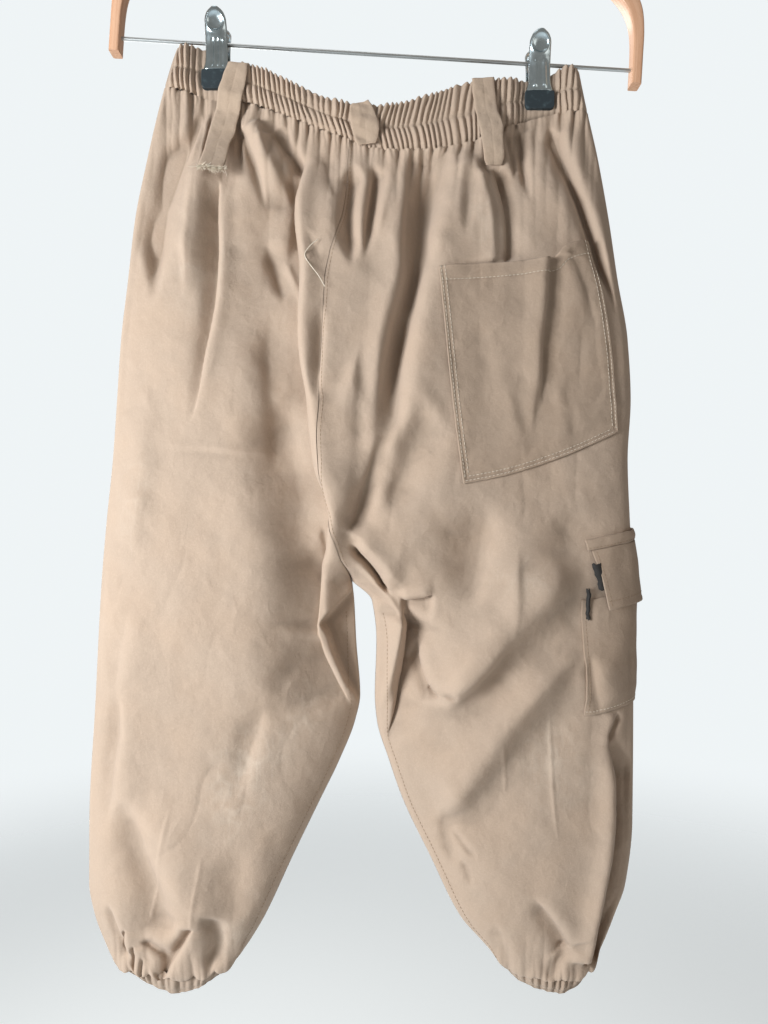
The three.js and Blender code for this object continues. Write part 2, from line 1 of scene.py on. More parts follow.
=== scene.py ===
import math
import bpy
import numpy as np
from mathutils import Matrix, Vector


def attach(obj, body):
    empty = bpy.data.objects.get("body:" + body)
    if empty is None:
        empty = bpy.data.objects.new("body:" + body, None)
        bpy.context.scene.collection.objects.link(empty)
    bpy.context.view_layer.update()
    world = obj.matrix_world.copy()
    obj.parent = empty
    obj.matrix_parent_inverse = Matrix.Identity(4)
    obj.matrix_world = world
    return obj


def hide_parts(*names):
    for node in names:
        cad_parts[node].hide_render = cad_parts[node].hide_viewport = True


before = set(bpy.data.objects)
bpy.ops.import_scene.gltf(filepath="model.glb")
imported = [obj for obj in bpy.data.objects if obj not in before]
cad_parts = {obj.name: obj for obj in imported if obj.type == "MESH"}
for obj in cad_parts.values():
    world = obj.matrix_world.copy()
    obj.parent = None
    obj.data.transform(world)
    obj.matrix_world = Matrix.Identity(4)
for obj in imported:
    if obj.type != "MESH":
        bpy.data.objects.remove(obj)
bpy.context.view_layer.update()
MM = 0.001      # every size below is in millimetres


# ======== The room ========
# The hanger hangs free in a plain studio. The camera stands square to the garment's back, level with
# its thighs. Soft window light comes from the upper left, and the floor is pale.
camera = bpy.data.objects.new("camera", bpy.data.cameras.new("camera"))
camera.data.sensor_width = 36
camera.data.lens = 27.42
camera.location = (-4.4 * MM, -589 * MM, -510.4 * MM)
camera.rotation_euler = (math.radians(90), 0, 0)
bpy.context.scene.collection.objects.link(camera)
bpy.context.scene.camera = camera
bpy.context.scene.view_settings.view_transform = "Standard"

for name, place, aim, width, power, tint in (
    ("window", (-880, -720, -480), (0, 0, -540), 420, 17.5, (0.96, 0.985, 1.0)),
    ("reflector", (1200, -1100, -500), (0, 0, -500), 900, 3.0, (1.0, 0.93, 0.85)),
    ("back_window", (-620, 1200, 60), (0, 0, -480), 800, 14, (1.0, 0.985, 0.96)),
    ("ceiling", (-300, -250, 1100), (0, 0, -480), 800, 4, (0.97, 0.99, 1.0)),
):
    lamp = bpy.data.objects.new(name, bpy.data.lights.new(name, "AREA"))
    lamp.data.shape = "SQUARE"
    lamp.data.size = width * MM
    lamp.data.energy = power
    lamp.data.color = tint
    lamp.location = [v * MM for v in place]
    way = Vector([(b - a) for a, b in zip(place, aim)])
    lamp.rotation_euler = way.to_track_quat("-Z", "Y").to_euler()
    bpy.context.scene.collection.objects.link(lamp)


class Wire:
    """A socket of a finish, used in plain arithmetic."""

    def __init__(self, finish, socket):
        self.finish, self.socket = finish, socket

    def maths(self, operation, *values, clamp=False):
        return self.finish.add("Math", {"operation": operation, "use_clamp": clamp}, dict(enumerate(values)))

    def __add__(self, other): return self.maths("ADD", self, other)
    def __radd__(self, other): return self.maths("ADD", other, self)
    def __sub__(self, other): return self.maths("SUBTRACT", self, other)
    def __rsub__(self, other): return self.maths("SUBTRACT", other, self)
    def __mul__(self, other): return self.maths("MULTIPLY", self, other)
    def __rmul__(self, other): return self.maths("MULTIPLY", other, self)
    def __truediv__(self, other): return self.maths("DIVIDE", self, other)
    def __pow__(self, other): return self.maths("POWER", self, other)
    def clipped(self): return self.maths("ADD", self, 0.0, clamp=True)
    def sine(self): return self.maths("SINE", self)
    def size(self): return self.maths("ABSOLUTE", self)

    def between(self, low, high):
        """0 at low, 1 at high, with soft ends"""
        return self.finish.add("MapRange", {"interpolation_type": "SMOOTHSTEP"},
                               {"Value": self, "From Min": low, "From Max": high})


class Finish:
    """One material. add() makes any node of it."""

    def __init__(self, name):
        self.material = bpy.data.materials.new(name)
        self.material.use_nodes = True
        self.tree = self.material.node_tree
        self.tree.nodes.clear()

    def add(self, kind, settings=None, inputs=None, output=0):
        node = self.tree.nodes.new("ShaderNode" + kind)
        for key, value in (settings or {}).items():
            setattr(node, key, value)
        for key, value in (inputs or {}).items():
            if isinstance(value, Wire):
                self.tree.links.new(value.socket, node.inputs[key])
            elif isinstance(value, tuple) and len(value) == 3 and len(node.inputs[key].default_value) == 4:
                node.inputs[key].default_value = (*value, 1)
            else:
                node.inputs[key].default_value = value
        return Wire(self, node.outputs[output]) if len(node.outputs) else None

    def place(self):
        """the point on the piece, in metres"""
        return self.add("TexCoord", output="Object")

    def stretched(self, scale, turn=(0, 0, 0)):
        return self.add("Mapping", {}, {"Vector": self.place(), "Scale": scale, "Rotation": turn})

    def cloud(self, scale, detail=3.0, vector=None, rough=0.5):
        return self.add("TexNoise", {}, {"Vector": vector or self.place(), "Scale": scale,
                                         "Detail": detail, "Roughness": rough})

    def blend(self, share, first, second):
        """a colour from first at 0 to second at 1"""
        return self.add("Mix", {"data_type": "RGBA"}, {0: share, 6: first, 7: second}, 2)

    def bump(self, height, depth, strength=1.0, under=None):
        inputs = {"Height": height, "Distance": depth * MM, "Strength": strength}
        if under:
            inputs["Normal"] = under
        return self.add("Bump", {}, inputs)

    def surface(self, **inputs):
        shader = self.add("BsdfPrincipled", {}, {k.replace("_", " "): v for k, v in inputs.items()})
        self.add("OutputMaterial", {}, {"Surface": shader})
        return self.material


def paint(red, green, blue):
    """a colour from its 0-255 screen values"""
    shares = (red / 255, green / 255, blue / 255)
    return tuple(v / 12.92 if v < 0.04045 else ((v + 0.055) / 1.055) ** 2.4 for v in shares)


def new_piece(name, points, faces, material, worn=None):
    """a smooth mesh from points in millimetres, with each point's share of wear and painted shade"""
    mesh = bpy.data.meshes.new(name)
    mesh.from_pydata((np.asarray(points, float).reshape(-1, 3) * MM).tolist(), [], faces)
    mesh.polygons.foreach_set("use_smooth", [True] * len(mesh.polygons))
    mesh.materials.append(material)
    if worn is not None:
        wear_and_shade_layer = mesh.attributes.new("worn", "FLOAT", "POINT")
        wear_and_shade_layer.data.foreach_set("value", np.ravel(worn).astype(np.float32))
    piece = bpy.data.objects.new(name, mesh)
    bpy.context.scene.collection.objects.link(piece)
    return piece


floor_finish = Finish("floor")
floor_far = floor_finish.add("VectorMath", {"operation": "LENGTH"},
                             {0: floor_finish.stretched((1, 1, 0))}, "Value").between(0.9, 2.8)
floor_paint = floor_finish.add("BsdfPrincipled", {}, {
    "Base Color": paint(232, 236, 237), "Roughness": 0.8,
    "Emission Color": paint(228, 236, 240), "Emission Strength": 0.35})
floor_finish.add("OutputMaterial", {}, {"Surface": floor_finish.add(
    "MixShader", {}, {0: floor_far, 1: floor_paint, 2: floor_finish.add("BsdfTransparent")})})
FLOOR_RADIUS, FLOOR_LEVEL, FLOOR_SIDES = 3000, -1500, 64
turn = 2 * math.pi / FLOOR_SIDES
floor_rim = [(FLOOR_RADIUS * math.cos(k * turn), FLOOR_RADIUS * math.sin(k * turn), FLOOR_LEVEL)
             for k in range(FLOOR_SIDES)]
floor = new_piece("floor", floor_rim, [list(range(FLOOR_SIDES))], floor_finish.material)

# the sky: dim on cloth, brighter in metal, and nearly white straight into the lens
SKY_ON_CLOTH, SKY_IN_METAL, SKY_SEEN = 0.14, 0.2, 0.92
world = bpy.data.worlds.new("room")
bpy.context.scene.world = world
world.use_nodes = True
sky_nodes = world.node_tree.nodes
sky_nodes.clear()
ray, strength, shiny, sky, tone, output = (sky_nodes.new("ShaderNode" + kind) for kind in (
    "LightPath", "MapRange", "Math", "Background", "Mix", "OutputWorld"))
strength.inputs["To Min"].default_value, strength.inputs["To Max"].default_value = SKY_ON_CLOTH, SKY_SEEN
shiny.operation, shiny.inputs[1].default_value = "MULTIPLY_ADD", SKY_IN_METAL
tone.data_type = "RGBA"
tone.inputs[6].default_value, tone.inputs[7].default_value = (1.0, 0.92, 0.84, 1), (0.94, 0.985, 1.0, 1)
for start, end in (
    (ray.outputs["Is Camera Ray"], tone.inputs[0]), (tone.outputs[2], sky.inputs["Color"]),
    (ray.outputs["Is Glossy Ray"], shiny.inputs[0]), (ray.outputs["Is Camera Ray"], shiny.inputs[2]),
    (shiny.outputs[0], strength.inputs["Value"]), (strength.outputs[0], sky.inputs["Strength"]),
    (sky.outputs[0], output.inputs[0]),
):
    world.node_tree.links.new(start, end)


# ======== The four leg panels ========
# Two back and two front legs of medium cotton twill, cut wide and gathered in at the waist and hems.
# The cloth was washed many times: it is faded, rubbed pale on its ridges and creased where it hung, and
# painted shade darkens its valleys.
def table(columns, rows):
    """named columns from rows of numbers, each row on a line or set off by a bar"""
    names = columns.split()
    return dict(zip(names, np.array(rows.replace("|", " ").split(), float).reshape(-1, len(names)).T))


def line(stations, values):
    """a smooth line through a table's values, with no overshoot"""
    order = np.argsort(stations)
    x, y = np.asarray(stations, float)[order], np.asarray(values, float)[order]
    rise = np.diff(y) / np.diff(x)
    slope = np.concatenate([rise[:1], np.zeros(len(x) - 2), rise[-1:]])
    same = rise[:-1] * rise[1:] > 0
    slope[1:-1][same] = 2 * (rise[:-1] * rise[1:])[same] / (rise[:-1] + rise[1:])[same]

    def at(v):
        v = np.asarray(v, float)
        i = np.clip(np.searchsorted(x, v) - 1, 0, len(x) - 2)
        w = x[i + 1] - x[i]
        t = np.clip((v - x[i]) / w, 0, 1)
        s = 1 - t
        inside = (y[i] * s * s * (1 + 2 * t) + slope[i] * w * t * s * s
                  + y[i + 1] * t * t * (1 + 2 * s) - slope[i + 1] * w * s * t * t)
        return inside + slope[0] * np.minimum(v - x[0], 0) + slope[-1] * np.maximum(v - x[-1], 0)
    return at


def mix(a, b, t): return a + (b - a) * t


def ramp(a, b, v):
    t = np.clip((v - a) / (b - a), 0, 1)
    return t * t * (3 - 2 * t)


SIDES = table("z left right", """
    -159 -159.7 139.6 | -183 -167.2 143.3 | -209 -174.4 148.6 | -245 -183 156.9 | -290 -192.1 165.2
    -336 -197.4 172 | -381 -202.6 179.5 | -426 -205.6 181.8 | -471 -208.7 179.5 | -516 -213.2 181
    -562 -216.9 183.3 | -652 -221.5 183.3 | -743 -226 182.5 | -788 -226 177.2 | -810 -222.2 169.7
    -833 -213.9 160.7 | -852 -202.6 150.9 | -866 -194 145""")
CENTRE_SEAM = table("z x", """
    -200 -28 | -226 -29.7 | -284 -34.1 | -343 -45.6 | -393 -47.1 | -458 -44.9 | -516 -39.8
    -562.7 -28.3""")
INNER_LEGS = table("z left right", """
    -562.7 -28.5 -28.1 | -577 -27 -13.4 | -607 -25.5 -10 | -648 -22.5 -11.2 | -667 -26.2 -9.7
    -697 -38 -0.6 | -727 -52.6 10 | -769 -73 30.2 | -814 -94 52.8 | -831 -104 67.8 | -852 -119 87
    -866 -128 97""")
DEPTHS = table("z back front", """
    -200 16 15 | -290 25 19 | -400 29 21 | -560 30 21 | -700 29 20 | -780 29 20 | -830 22 16
    -852 15 12 | -866 12 10""")
BAND = table("x top bottom", """
    -160 -163.3 -193.7 | -138 -163.3 -198.1 | -119 -173.8 -201.9 | -104 -178.2 -204.8
    -82 -187.2 -212.3 | -67 -194.6 -218.2 | -37 -205.8 -229.4 | -11 -208.8 -239 | 8 -206.5 -240.5
    30 -200.6 -239.8 | 52 -193.1 -236.8 | 75 -189.4 -229.4 | 97 -187.6 -219 | 116 -184.4 -213.8
    130 -179 -210.8 | 140 -180.2 -210.8""")
HEMS = {
    "left": table("x top bottom", """
        -206 -844 -850 | -194 -846 -854 | -178 -848 -860.5 | -157 -849 -864.4 | -141 -847.5 -861.5
        -119 -842.5 -850 | -112 -841 -846.5"""),
    "right": table("x top bottom", """
        84 -845 -852 | 93 -846.5 -857 | 111 -848 -861.5 | 126 -848.5 -863.5 | 137 -848 -861
        146 -846 -856 | 153 -844.5 -851""")}
CLIPS = table("x top pad_top pad_bottom", """
    -129.6 -137.6 -180.2 -194.6 | 111.8 -153.9 -196.2 -209.6""")
CROTCH_Z, CROTCH_RISE = -562.7, 20
BAND_HALF, BAND_CLIPPED = 8.5, 3.5      # half the waistband's depth, free and in a clip
LEG_TOP, LEG_BOTTOM = -215, -848
SEAM = 0.3
FULLEST, FULL_REST = 37, 7      # a fold deeper than this grows ever more slowly, by this much at most
WAIST_PITCH, PLEAT_PITCH, SWAG_PITCH = 4.2, 9.5, 27      # gathers below the waistband
HEM_PITCH, HEM_PLEAT_PITCH, BLOUSE_PITCH = 5.4, 13, 15
SEEDS = {"back": 11, "front": 71}

# the folds of the back, from (x0, z0) to (x1, z1), bowed to one side. Each falls away over wl on its
# left and wr on its right, stands h out of the cloth, minus for a valley, and fades out over the shares
# f0 and f1 of its length.
BACK_FOLDS = table("x0 z0 x1 z1 bow wl wr h f0 f1", """
    -148 -218 -176 -358 -7 10.1 9.4 -16 0.25 0.4
    -141 -242 -151 -358 0 5.8 10.8 5 0.2 0.4
    -143 -208 -151 -250 0 3.6 2.9 -4 0.3 0.5
    -134 -206 -139 -255 0 2.9 3.6 -3.5 0.3 0.5
    -116 -208 -108 -264 0 4.3 2.9 -3.5 0.3 0.5
    -127 -263 -146 -450 9 8.6 2.2 -7.5 0.12 0.3
    -111 -222 -92 -289 2 4.3 3.6 -5 0.1 0.4
    -100 -216 -71 -289 -2 7.9 5 6 0.08 0.3
    -84 -222 -63 -264 0 4.3 4.3 -9 0.1 0.25
    -73 -278 -80 -323 1 11.5 4.3 4.5 0.3 0.3
    -92 -312 -77 -358 -1 4.3 5 -3.5 0.3 0.3
    -80 -323 -58 -372 1 2.9 2.2 1.6 0.2 0.3
    -67 -242 -43 -516 -5 37.4 2.5 -17 0.15 0.14
    -78 -424 -66 -549 0 23.8 17.3 -11 0.3 0.35
    -89 -358 -81 -487 0 10.8 21.6 -5 0.3 0.3
    -45 -469 -48 -595 3 24.5 2.2 -9 0.35 0.4
    -52 -239 -38 -284 -1 4.3 5.8 -3.5 0.3 0.4
    -56 -304 -49 -330 0 3.6 2.2 -2 0.3 0.3
    -29 -250 -29 -335 -2 5.8 5.8 -11.5 0.2 0.3
    -12 -250 -19 -330 1 4.3 5.8 -7 0.15 0.35
    -2 -250 -9 -314 1 4.3 4.3 2.5 0.3 0.4
    13 -241 -14 -458 3 10.1 5 5.8 0.12 0.3
    -47 -358 -47 -431 0 4.3 2.2 -4 0.3 0.2
    32 -231 9 -372 4 14.4 12.2 -12 0.1 0.3
    17 -314 -8 -474 4 10.1 9.4 -12.5 0.3 0.25
    -4 -451 -28 -531 -1 7.2 13 -8 0.3 0.2
    -26 -415 -32 -502 0 6.5 8.6 -4 0.3 0.3
    24 -426 1 -516 3 14.4 15.8 -9 0.3 0.3
    -20 -386 -32 -516 -4 7.2 5 4 0.3 0.2
    40 -257 30 -336 1 6.5 8.6 4 0.3 0.3
    58 -250 55 -314 1 4.3 4.3 -3 0.3 0.4
    62 -242 74 -332 1 17.3 3.6 5 0.15 0.06
    77 -255 85 -330 2 3.6 8.6 -8 0.1 0.08
    85 -218 94 -266 -1 2.9 3.6 -7.5 0.05 0.5
    95 -224 102 -286 1 3.6 2.9 -5.5 0.05 0.5
    108 -228 131 -314 1 11.5 7.2 3.5 0.3 0.3
    120 -222 168 -366 1 5 4.3 -12 0.08 0.3
    -49 -519 -46 -590 4 2.2 2.2 -2.2 0.15 0.1
    -39 -516 -32 -567 1 5.8 5.8 3 0.3 0.3
    -29 -533 0 -572 4 3.6 2.9 -15 0.25 0.25
    -38 -519 9 -565 7 3.6 11.5 4.5 0.3 0.3
    -28 -545 9 -591 4 3.6 2.9 3 0.3 0.2
    5 -582 -11 -662 0 10.1 2.9 8 0.12 0.35
    11 -578 -3 -683 0 2.9 20.9 -12.5 0.15 0.35
    6 -574 33 -572 0 14.4 2.2 -8 0.25 0.3
    68 -498 56 -581 0 21.6 14.4 -10 0.4 0.4
    93 -531 87 -603 1 8.6 3.6 2.2 0.4 0.4
    140 -502 127 -567 0 15.8 17.3 -4 0.4 0.4
    145 -538 32 -658 -6 21.6 18 12 0.3 0.25
    88 -600 34 -651 -2 10.8 8.6 5 0.4 0.15
    27 -639 49 -646 1 2.9 4.3 -5 0.15 0.35
    19 -603 35 -647 -4 6.5 2.5 -7 0.3 0.08
    138 -607 31 -734 -7 21.6 15.8 12 0.3 0.17
    37 -722 49 -770 -2 7.2 9.4 -3.2 0.35 0.4
    45 -740 65 -762 -1 2.9 3.6 -1.5 0.3 0.3
    52 -762 60 -783 1 2.9 2.9 -1.1 0.3 0.3
    114 -646 120 -754 -1 1.6 1.7 0.55 0.3 0.3
    79 -671 83 -718 0 2.2 1.9 0.6 0.3 0.3
    143 -613 151 -660 0 7.2 5.8 -3 0.3 0.3
    158 -666 142 -838 5 2.5 18 -18 0.25 0.02
    167 -657 157 -683 0 2.2 3.6 -4 0.2 0.3
    101 -786 127 -826 4 8.6 3.6 -5 0.35 0.05
    127 -822 114 -845 3 4.3 2.9 -3 0.15 0.2
    76 -808 88 -844 1 7.2 4.3 -2.5 0.3 0.1
    -190 -574 -203 -649 0 10.1 6.5 -3 0.4 0.4
    -198 -635 -210 -743 2 10.1 6.5 -5 0.35 0.3
    -180 -415 -189 -545 -1 15.8 11.5 3 0.3 0.3
    -49 -582 -88 -650 1 10.1 6.5 -1.6 0.3 0.4
    -92 -646 -114 -718 2 10.1 5.8 -3 0.3 0.4
    -173 -459 -72 -471 0 2.2 2.9 0.7 0.3 0.3
    -195 -715 -157 -822 -2 15.1 13 -11 0.35 0.15
    -158 -718 -175 -812 0 1.4 1.9 0.5 0.2 0.1
    -135 -754 -143 -812 0 1.4 1.9 0.45 0.2 0.1
    -142 -809 -169 -848 3 6.5 2.2 -7 0.15 0.05
    -137 -799 -133 -842 9 7.2 7.2 -6 0.3 0.2
    -182 -822 -160 -838 0 2.9 7.2 -4 0.3 0.3
    -206 -794 -193 -837 0 5.8 3.6 -4 0.3 0.1
    -192 -814 -196 -833 0 1.6 1.4 -4 0.2 0.1
    -186 -827 -190 -842 0 1.6 1.4 -3.5 0.2 0.1
    -181 -836 -184 -845 0 1.6 1.4 -2.6 0.2 0.1
    -108 -747 -119 -815 1 14.4 10.1 -3 0.4 0.3
    -74 -437 -92 -675 -6 43.2 31.7 8 0.3 0.3
    -42 -531 -49 -603 0 25.9 2.9 -8 0.3 0.15
    -51 -590 -30 -656 0 24.5 2.9 -8 0.4 0.3""")
FRONT_FOLDS = table("x0 z0 x1 z1 bow wl wr h f0 f1", """
    -145 -196 -158 -300 2 5 3 -4 0.08 0.35
    -120 -215 -140 -390 6 10 5 -5 0.15 0.3
    -75 -225 -62 -420 -5 12 5 -7 0.15 0.3
    -40 -235 -45 -330 3 5 3 -4 0.15 0.3
    5 -240 -12 -430 5 9 7 -7 0.15 0.3
    30 -240 38 -330 3 4 5 -4 0.15 0.3
    60 -235 72 -400 4 10 5 -6 0.15 0.3
    92 -222 104 -300 2 4 4 -4 0.15 0.3
    118 -215 142 -350 3 8 4 -5 0.15 0.3
    -60 -560 -120 -660 4 12 5 -6 0.2 0.4
    -150 -600 -110 -680 -4 7 12 4 0.3 0.3
    10 -585 70 -680 -4 9 8 -6 0.2 0.4
    60 -620 140 -560 4 10 6 -4 0.2 0.4
    40 -720 120 -650 4 12 6 4 0.2 0.4
    -180 -700 -165 -840 0 9 5 -4 0.3 0.1
    -150 -770 -158 -846 3 4 4 -4 0.3 0.05
    -200 -690 -214 -760 3 5 4 -4 0.3 0.2
    125 -710 112 -840 0 9 5 -4 0.3 0.1
    88 -770 104 -845 2 4 4 -4 0.3 0.05
    158 -700 150 -800 3 5 4 -5 0.3 0.2""")

side_at = {leg: line(SIDES["z"], SIDES[leg]) for leg in ("left", "right")}
inner_at = {leg: line(INNER_LEGS["z"], INNER_LEGS[leg]) for leg in ("left", "right")}
seam_at = line(CENTRE_SEAM["z"], CENTRE_SEAM["x"])
depth_at = {half: line(DEPTHS["z"], DEPTHS[half]) for half in ("back", "front")}
band_top, band_bottom = line(BAND["x"], BAND["top"]), line(BAND["x"], BAND["bottom"])
hem_top = {leg: line(HEMS[leg]["x"], HEMS[leg]["top"]) for leg in HEMS}
hem_bottom = {leg: line(HEMS[leg]["x"], HEMS[leg]["bottom"]) for leg in HEMS}
INWARD = {"left": 1, "right": -1}
OUTWARD = {"back": -1, "front": 1}


def squeezed(x, reach, power):
    """1 where a clip grips the waistband"""
    return np.max([np.exp(-np.abs((x - centre) / reach) ** power) for centre in CLIPS["x"]], axis=0)


def band_half(x): return mix(BAND_HALF, BAND_CLIPPED, squeezed(x, 19, 8))
def round_end(distance, radius): return np.sqrt(1 - (1 - np.clip(distance / radius, 0, 1)) ** 2)


def parted(z, a=1):
    """0 where the hips are one tube, 1 where the legs are two, with a softer change off the middle"""
    near = 1 - ramp(0, CROTCH_RISE, z - CROTCH_Z)
    far = 1 - ramp(-70, 110, z - CROTCH_Z)
    return mix(far, near, ramp(0.82, 1, a))


def leg_centre(leg, z):
    return np.where(z > CROTCH_Z, seam_at(z) - INWARD[leg] * SEAM / 2, inner_at[leg](z))


def rumple(x, z, size, seed):
    """soft unevenness from -1 to 1 over patches of that size"""
    knots = np.random.default_rng(seed).uniform(-1, 1, (61, 67))
    x, z = 0.82 * x + 0.57 * z, 0.82 * z - 0.57 * x
    i, j = np.floor(x / size).astype(int), np.floor(z / size).astype(int)
    s, t = x / size - i, z / size - j
    s, t = s * s * (3 - 2 * s), t * t * (3 - 2 * t)
    at = lambda a, b: knots[a % 61, b % 67]
    return mix(mix(at(i, j), at(i + 1, j), s), mix(at(i, j + 1), at(i + 1, j + 1), s), t)


def creased(x, z, size, seed):
    """crisp crease lines between soft planes, from 0 to 1"""
    return (1 - np.abs(rumple(x, z, size, seed))) ** 5


def gathers(x, z, pitch, seed):
    """gathers of uneven pitch across x: 1 on a ridge and 0 in the sharp valley beside it"""
    phase = (x / pitch + 0.55 * rumple(x, z * 0.35, 3.1 * pitch, seed)
             + 0.2 * rumple(x, z, 1.3 * pitch, seed + 1))
    height = 0.8 + 0.3 * rumple(x, z * 0.2, 1.7 * pitch, seed + 2)
    return np.abs(np.cos(math.pi * phase)) ** 0.85 * np.clip(height, 0.3, 1.1)


def folded(folds, x, z):
    """how far the folds move the cloth out of its plane, and aside where a sharp edge laps its valley"""
    out, aside_x, aside_z = np.zeros_like(x), np.zeros_like(x), np.zeros_like(x)
    wander, swell = 1.3 * rumple(x, z, 36, 5), 1 + 0.3 * rumple(x, z, 44, 6)
    drift, broad = 0.14 * rumple(x, z, 47, 7), 1 + 0.3 * rumple(x, z, 58, 8)
    for x0, z0, x1, z1, bow, wl, wr, h, f0, f1 in zip(*folds.values()):
        dx, dz = x1 - x0, z1 - z0
        length = math.hypot(dx, dz)
        t = ((x - x0) * dx + (z - z0) * dz) / length ** 2
        across = (-(x - x0) * dz + (z - z0) * dx) / length - bow * 4 * t * (1 - t) + wander
        across += drift * min(wl + wr, 26)
        fade = ramp(0, f0, t) * ramp(1, 1 - f1, t) * ((t > 0) & (t < 1))
        width = np.where(across < 0, wl, wr) * (0.45 + 0.55 * fade) * broad
        sharp, soft, sense = (wr, wl, 1) if wr < wl else (wl, wr, -1)
        roll = 0.30 * np.exp(-((across * sense - 1.7 * sharp - 1.5) / (1.4 * sharp + 2)) ** 2)
        out += h * fade * swell * (np.exp(-(across / width) ** 2) - roll)
        lap = 0.5 * max(-h, 0) * (1 - sharp / soft) ** 0.5
        past = np.maximum(across * sense, 0)
        shift = -sense * lap * fade * ramp(0, sharp, past) * np.exp(-(past / (3 * sharp + 4)) ** 2)
        aside_x += shift * -dz / length
        aside_z += shift * dx / length
    return out, aside_x, aside_z


# the left leg's cloth folds back at two edges that meet at a corner, and its inner thigh lies deep behind
THIGH_CORNER, THIGH_TOP, THIGH_FOOT = (-48.6, -592.3), (-25.5, -563.5), (-22.6, -656.0)


def inner_thigh(x, z):
    """0 on the outer cloth, 1 where only the inner thigh shows behind the two fold edges"""
    share = 1.0
    for (x0, z0), (x1, z1) in ((THIGH_CORNER, THIGH_FOOT), (THIGH_TOP, THIGH_CORNER)):
        length = math.hypot(x1 - x0, z1 - z0)
        inside = (-(x - x0) * (z1 - z0) + (z - z0) * (x1 - x0)) / length
        share = share * ramp(0, 2.4, inside)
    return share


def cloth(half, leg, x, z, detail=1.0):
    """the cloth's outer face over a point of the garment's plane"""
    side, centre = side_at[leg](z), leg_centre(leg, z)
    a = np.clip((x - side) / (centre - side), 0, 1)
    opened = parted(z, a)
    whole = np.sqrt(1 - (1 - a) ** 2.2)
    tube = np.sqrt(np.maximum(0, 1 - np.abs(2 * a - 1) ** 2.4))
    below = band_bottom(x) - z
    fall, rise = np.maximum(below, 0), np.maximum(z - hem_top[leg](x), 0)
    pinch = 1 - 0.65 * squeezed(x, 26, 2) * np.exp(-fall / 45)
    full = depth_at[half](z) * pinch * mix(whole, tube, opened)
    flat = band_half(x) * round_end(np.abs(x - side), 8)
    free = ramp(0, 8, np.abs(x - side)) * mix(1, ramp(0, 8, np.abs(x - centre)), opened)
    shy = free * ramp(0, 10, below)
    out, aside_x, aside_z = (shy * v for v in folded(BACK_FOLDS if half == "back" else FRONT_FOLDS, x, z))
    seed = SEEDS[half]
    # drawn in by the waistband: small puckers, pleats that run out unevenly, and wide soft folds
    loose = 1 - 0.8 * squeezed(x, 12.5, 8) * np.exp(-fall / 12)
    puckers = 2.1 * np.exp(-fall / 6) * (gathers(x, z, WAIST_PITCH, seed) - 0.2)
    pleats = (4.6 * np.exp(-fall / (24 + 17 * rumple(x, z * 0.1, 15, seed + 3)))
              * (gathers(x - 0.05 * (z - LEG_TOP), z * 0.3, PLEAT_PITCH, seed + 5) - 0.6))
    swags = (3.0 * np.exp(-fall / 75) * ramp(0, 30, fall)
             * (gathers(x - 0.04 * (z - LEG_TOP), z * 0.2, SWAG_PITCH, seed + 7) - 0.6))
    out += free * loose * detail * (puckers + pleats + swags)
    # drawn in by the hem's elastic, with the cloth bloused over it
    puckers = 1.6 * np.exp(-rise / 7) * (gathers(x, z, HEM_PITCH, seed + 9) - 0.6)
    pleats = 1.7 * np.exp(-rise / 20) * (gathers(x, z * 0.3, HEM_PLEAT_PITCH, seed + 14) - 0.6)
    out += free * detail * (puckers + pleats)
    blouse = np.exp(-((rise - 4) / 6) ** 2) * detail * free
    out += 1.6 * blouse
    aside_z = aside_z - 8.5 * blouse * (0.55 + 0.5 * gathers(x, z * 0.2, BLOUSE_PITCH, seed + 15))
    # uneven all over: waves from wide to small, then creases that come and go
    waves = (2.2 * rumple(x, z * 0.55, 72, seed + 19) + 1.1 * rumple(x, z * 0.7, 34, seed + 20)
             + 0.5 * rumple(x + z * 0.4, z, 14, seed + 21) + 0.16 * rumple(x, z, 6, seed + 22))
    creases = (0.5 * creased(x + z * 0.25, z * 0.4, 43, seed + 23)
               * ramp(-0.1, 0.5, rumple(x, z, 61, seed + 26))
               - 0.55 * creased(x - z * 0.45, z * 0.5 + x * 0.3, 31, seed + 24)
               * ramp(0.0, 0.5, rumple(x, z, 57, seed + 27))
               + 0.18 * creased(x * 0.7 - z * 0.2, z, 17, seed + 25))
    out += free * detail * (waves + creases)
    depth = np.maximum(mix(flat, full, ramp(0, 80, below)) + out, 0)
    depth = np.where(depth > FULLEST, FULLEST + FULL_REST * np.tanh((depth - FULLEST) / FULL_REST), depth)
    if half == "back" and leg == "left":
        depth = depth * (1 - 0.8 * inner_thigh(x, z))
    return np.stack([x + aside_x, OUTWARD[half] * (SEAM / 2 + depth), z + aside_z], -1)


def leg_plane(leg, a, v):
    """the plane point at the share a from the side seam inwards and v from the waistband down"""
    level = mix(LEG_TOP, LEG_BOTTOM, v)
    top_share, bottom_share = 1 - ramp(0, 0.3, v), ramp(0.75, 1, v)
    z = level + 0 * a
    for _ in range(8):
        x = mix(side_at[leg](z), leg_centre(leg, z), a)
        z = (level + top_share * (band_bottom(x) - 2 * SEAM - LEG_TOP)
             + bottom_share * (hem_top[leg](x) + SEAM - LEG_BOTTOM))
    return x, z


def spread(n, rounding):
    """shares from 0 to 1 closer together at both ends"""
    t = np.linspace(0, 1, n + 1)
    return mix(t, (1 - np.cos(math.pi * t)) / 2, rounding)


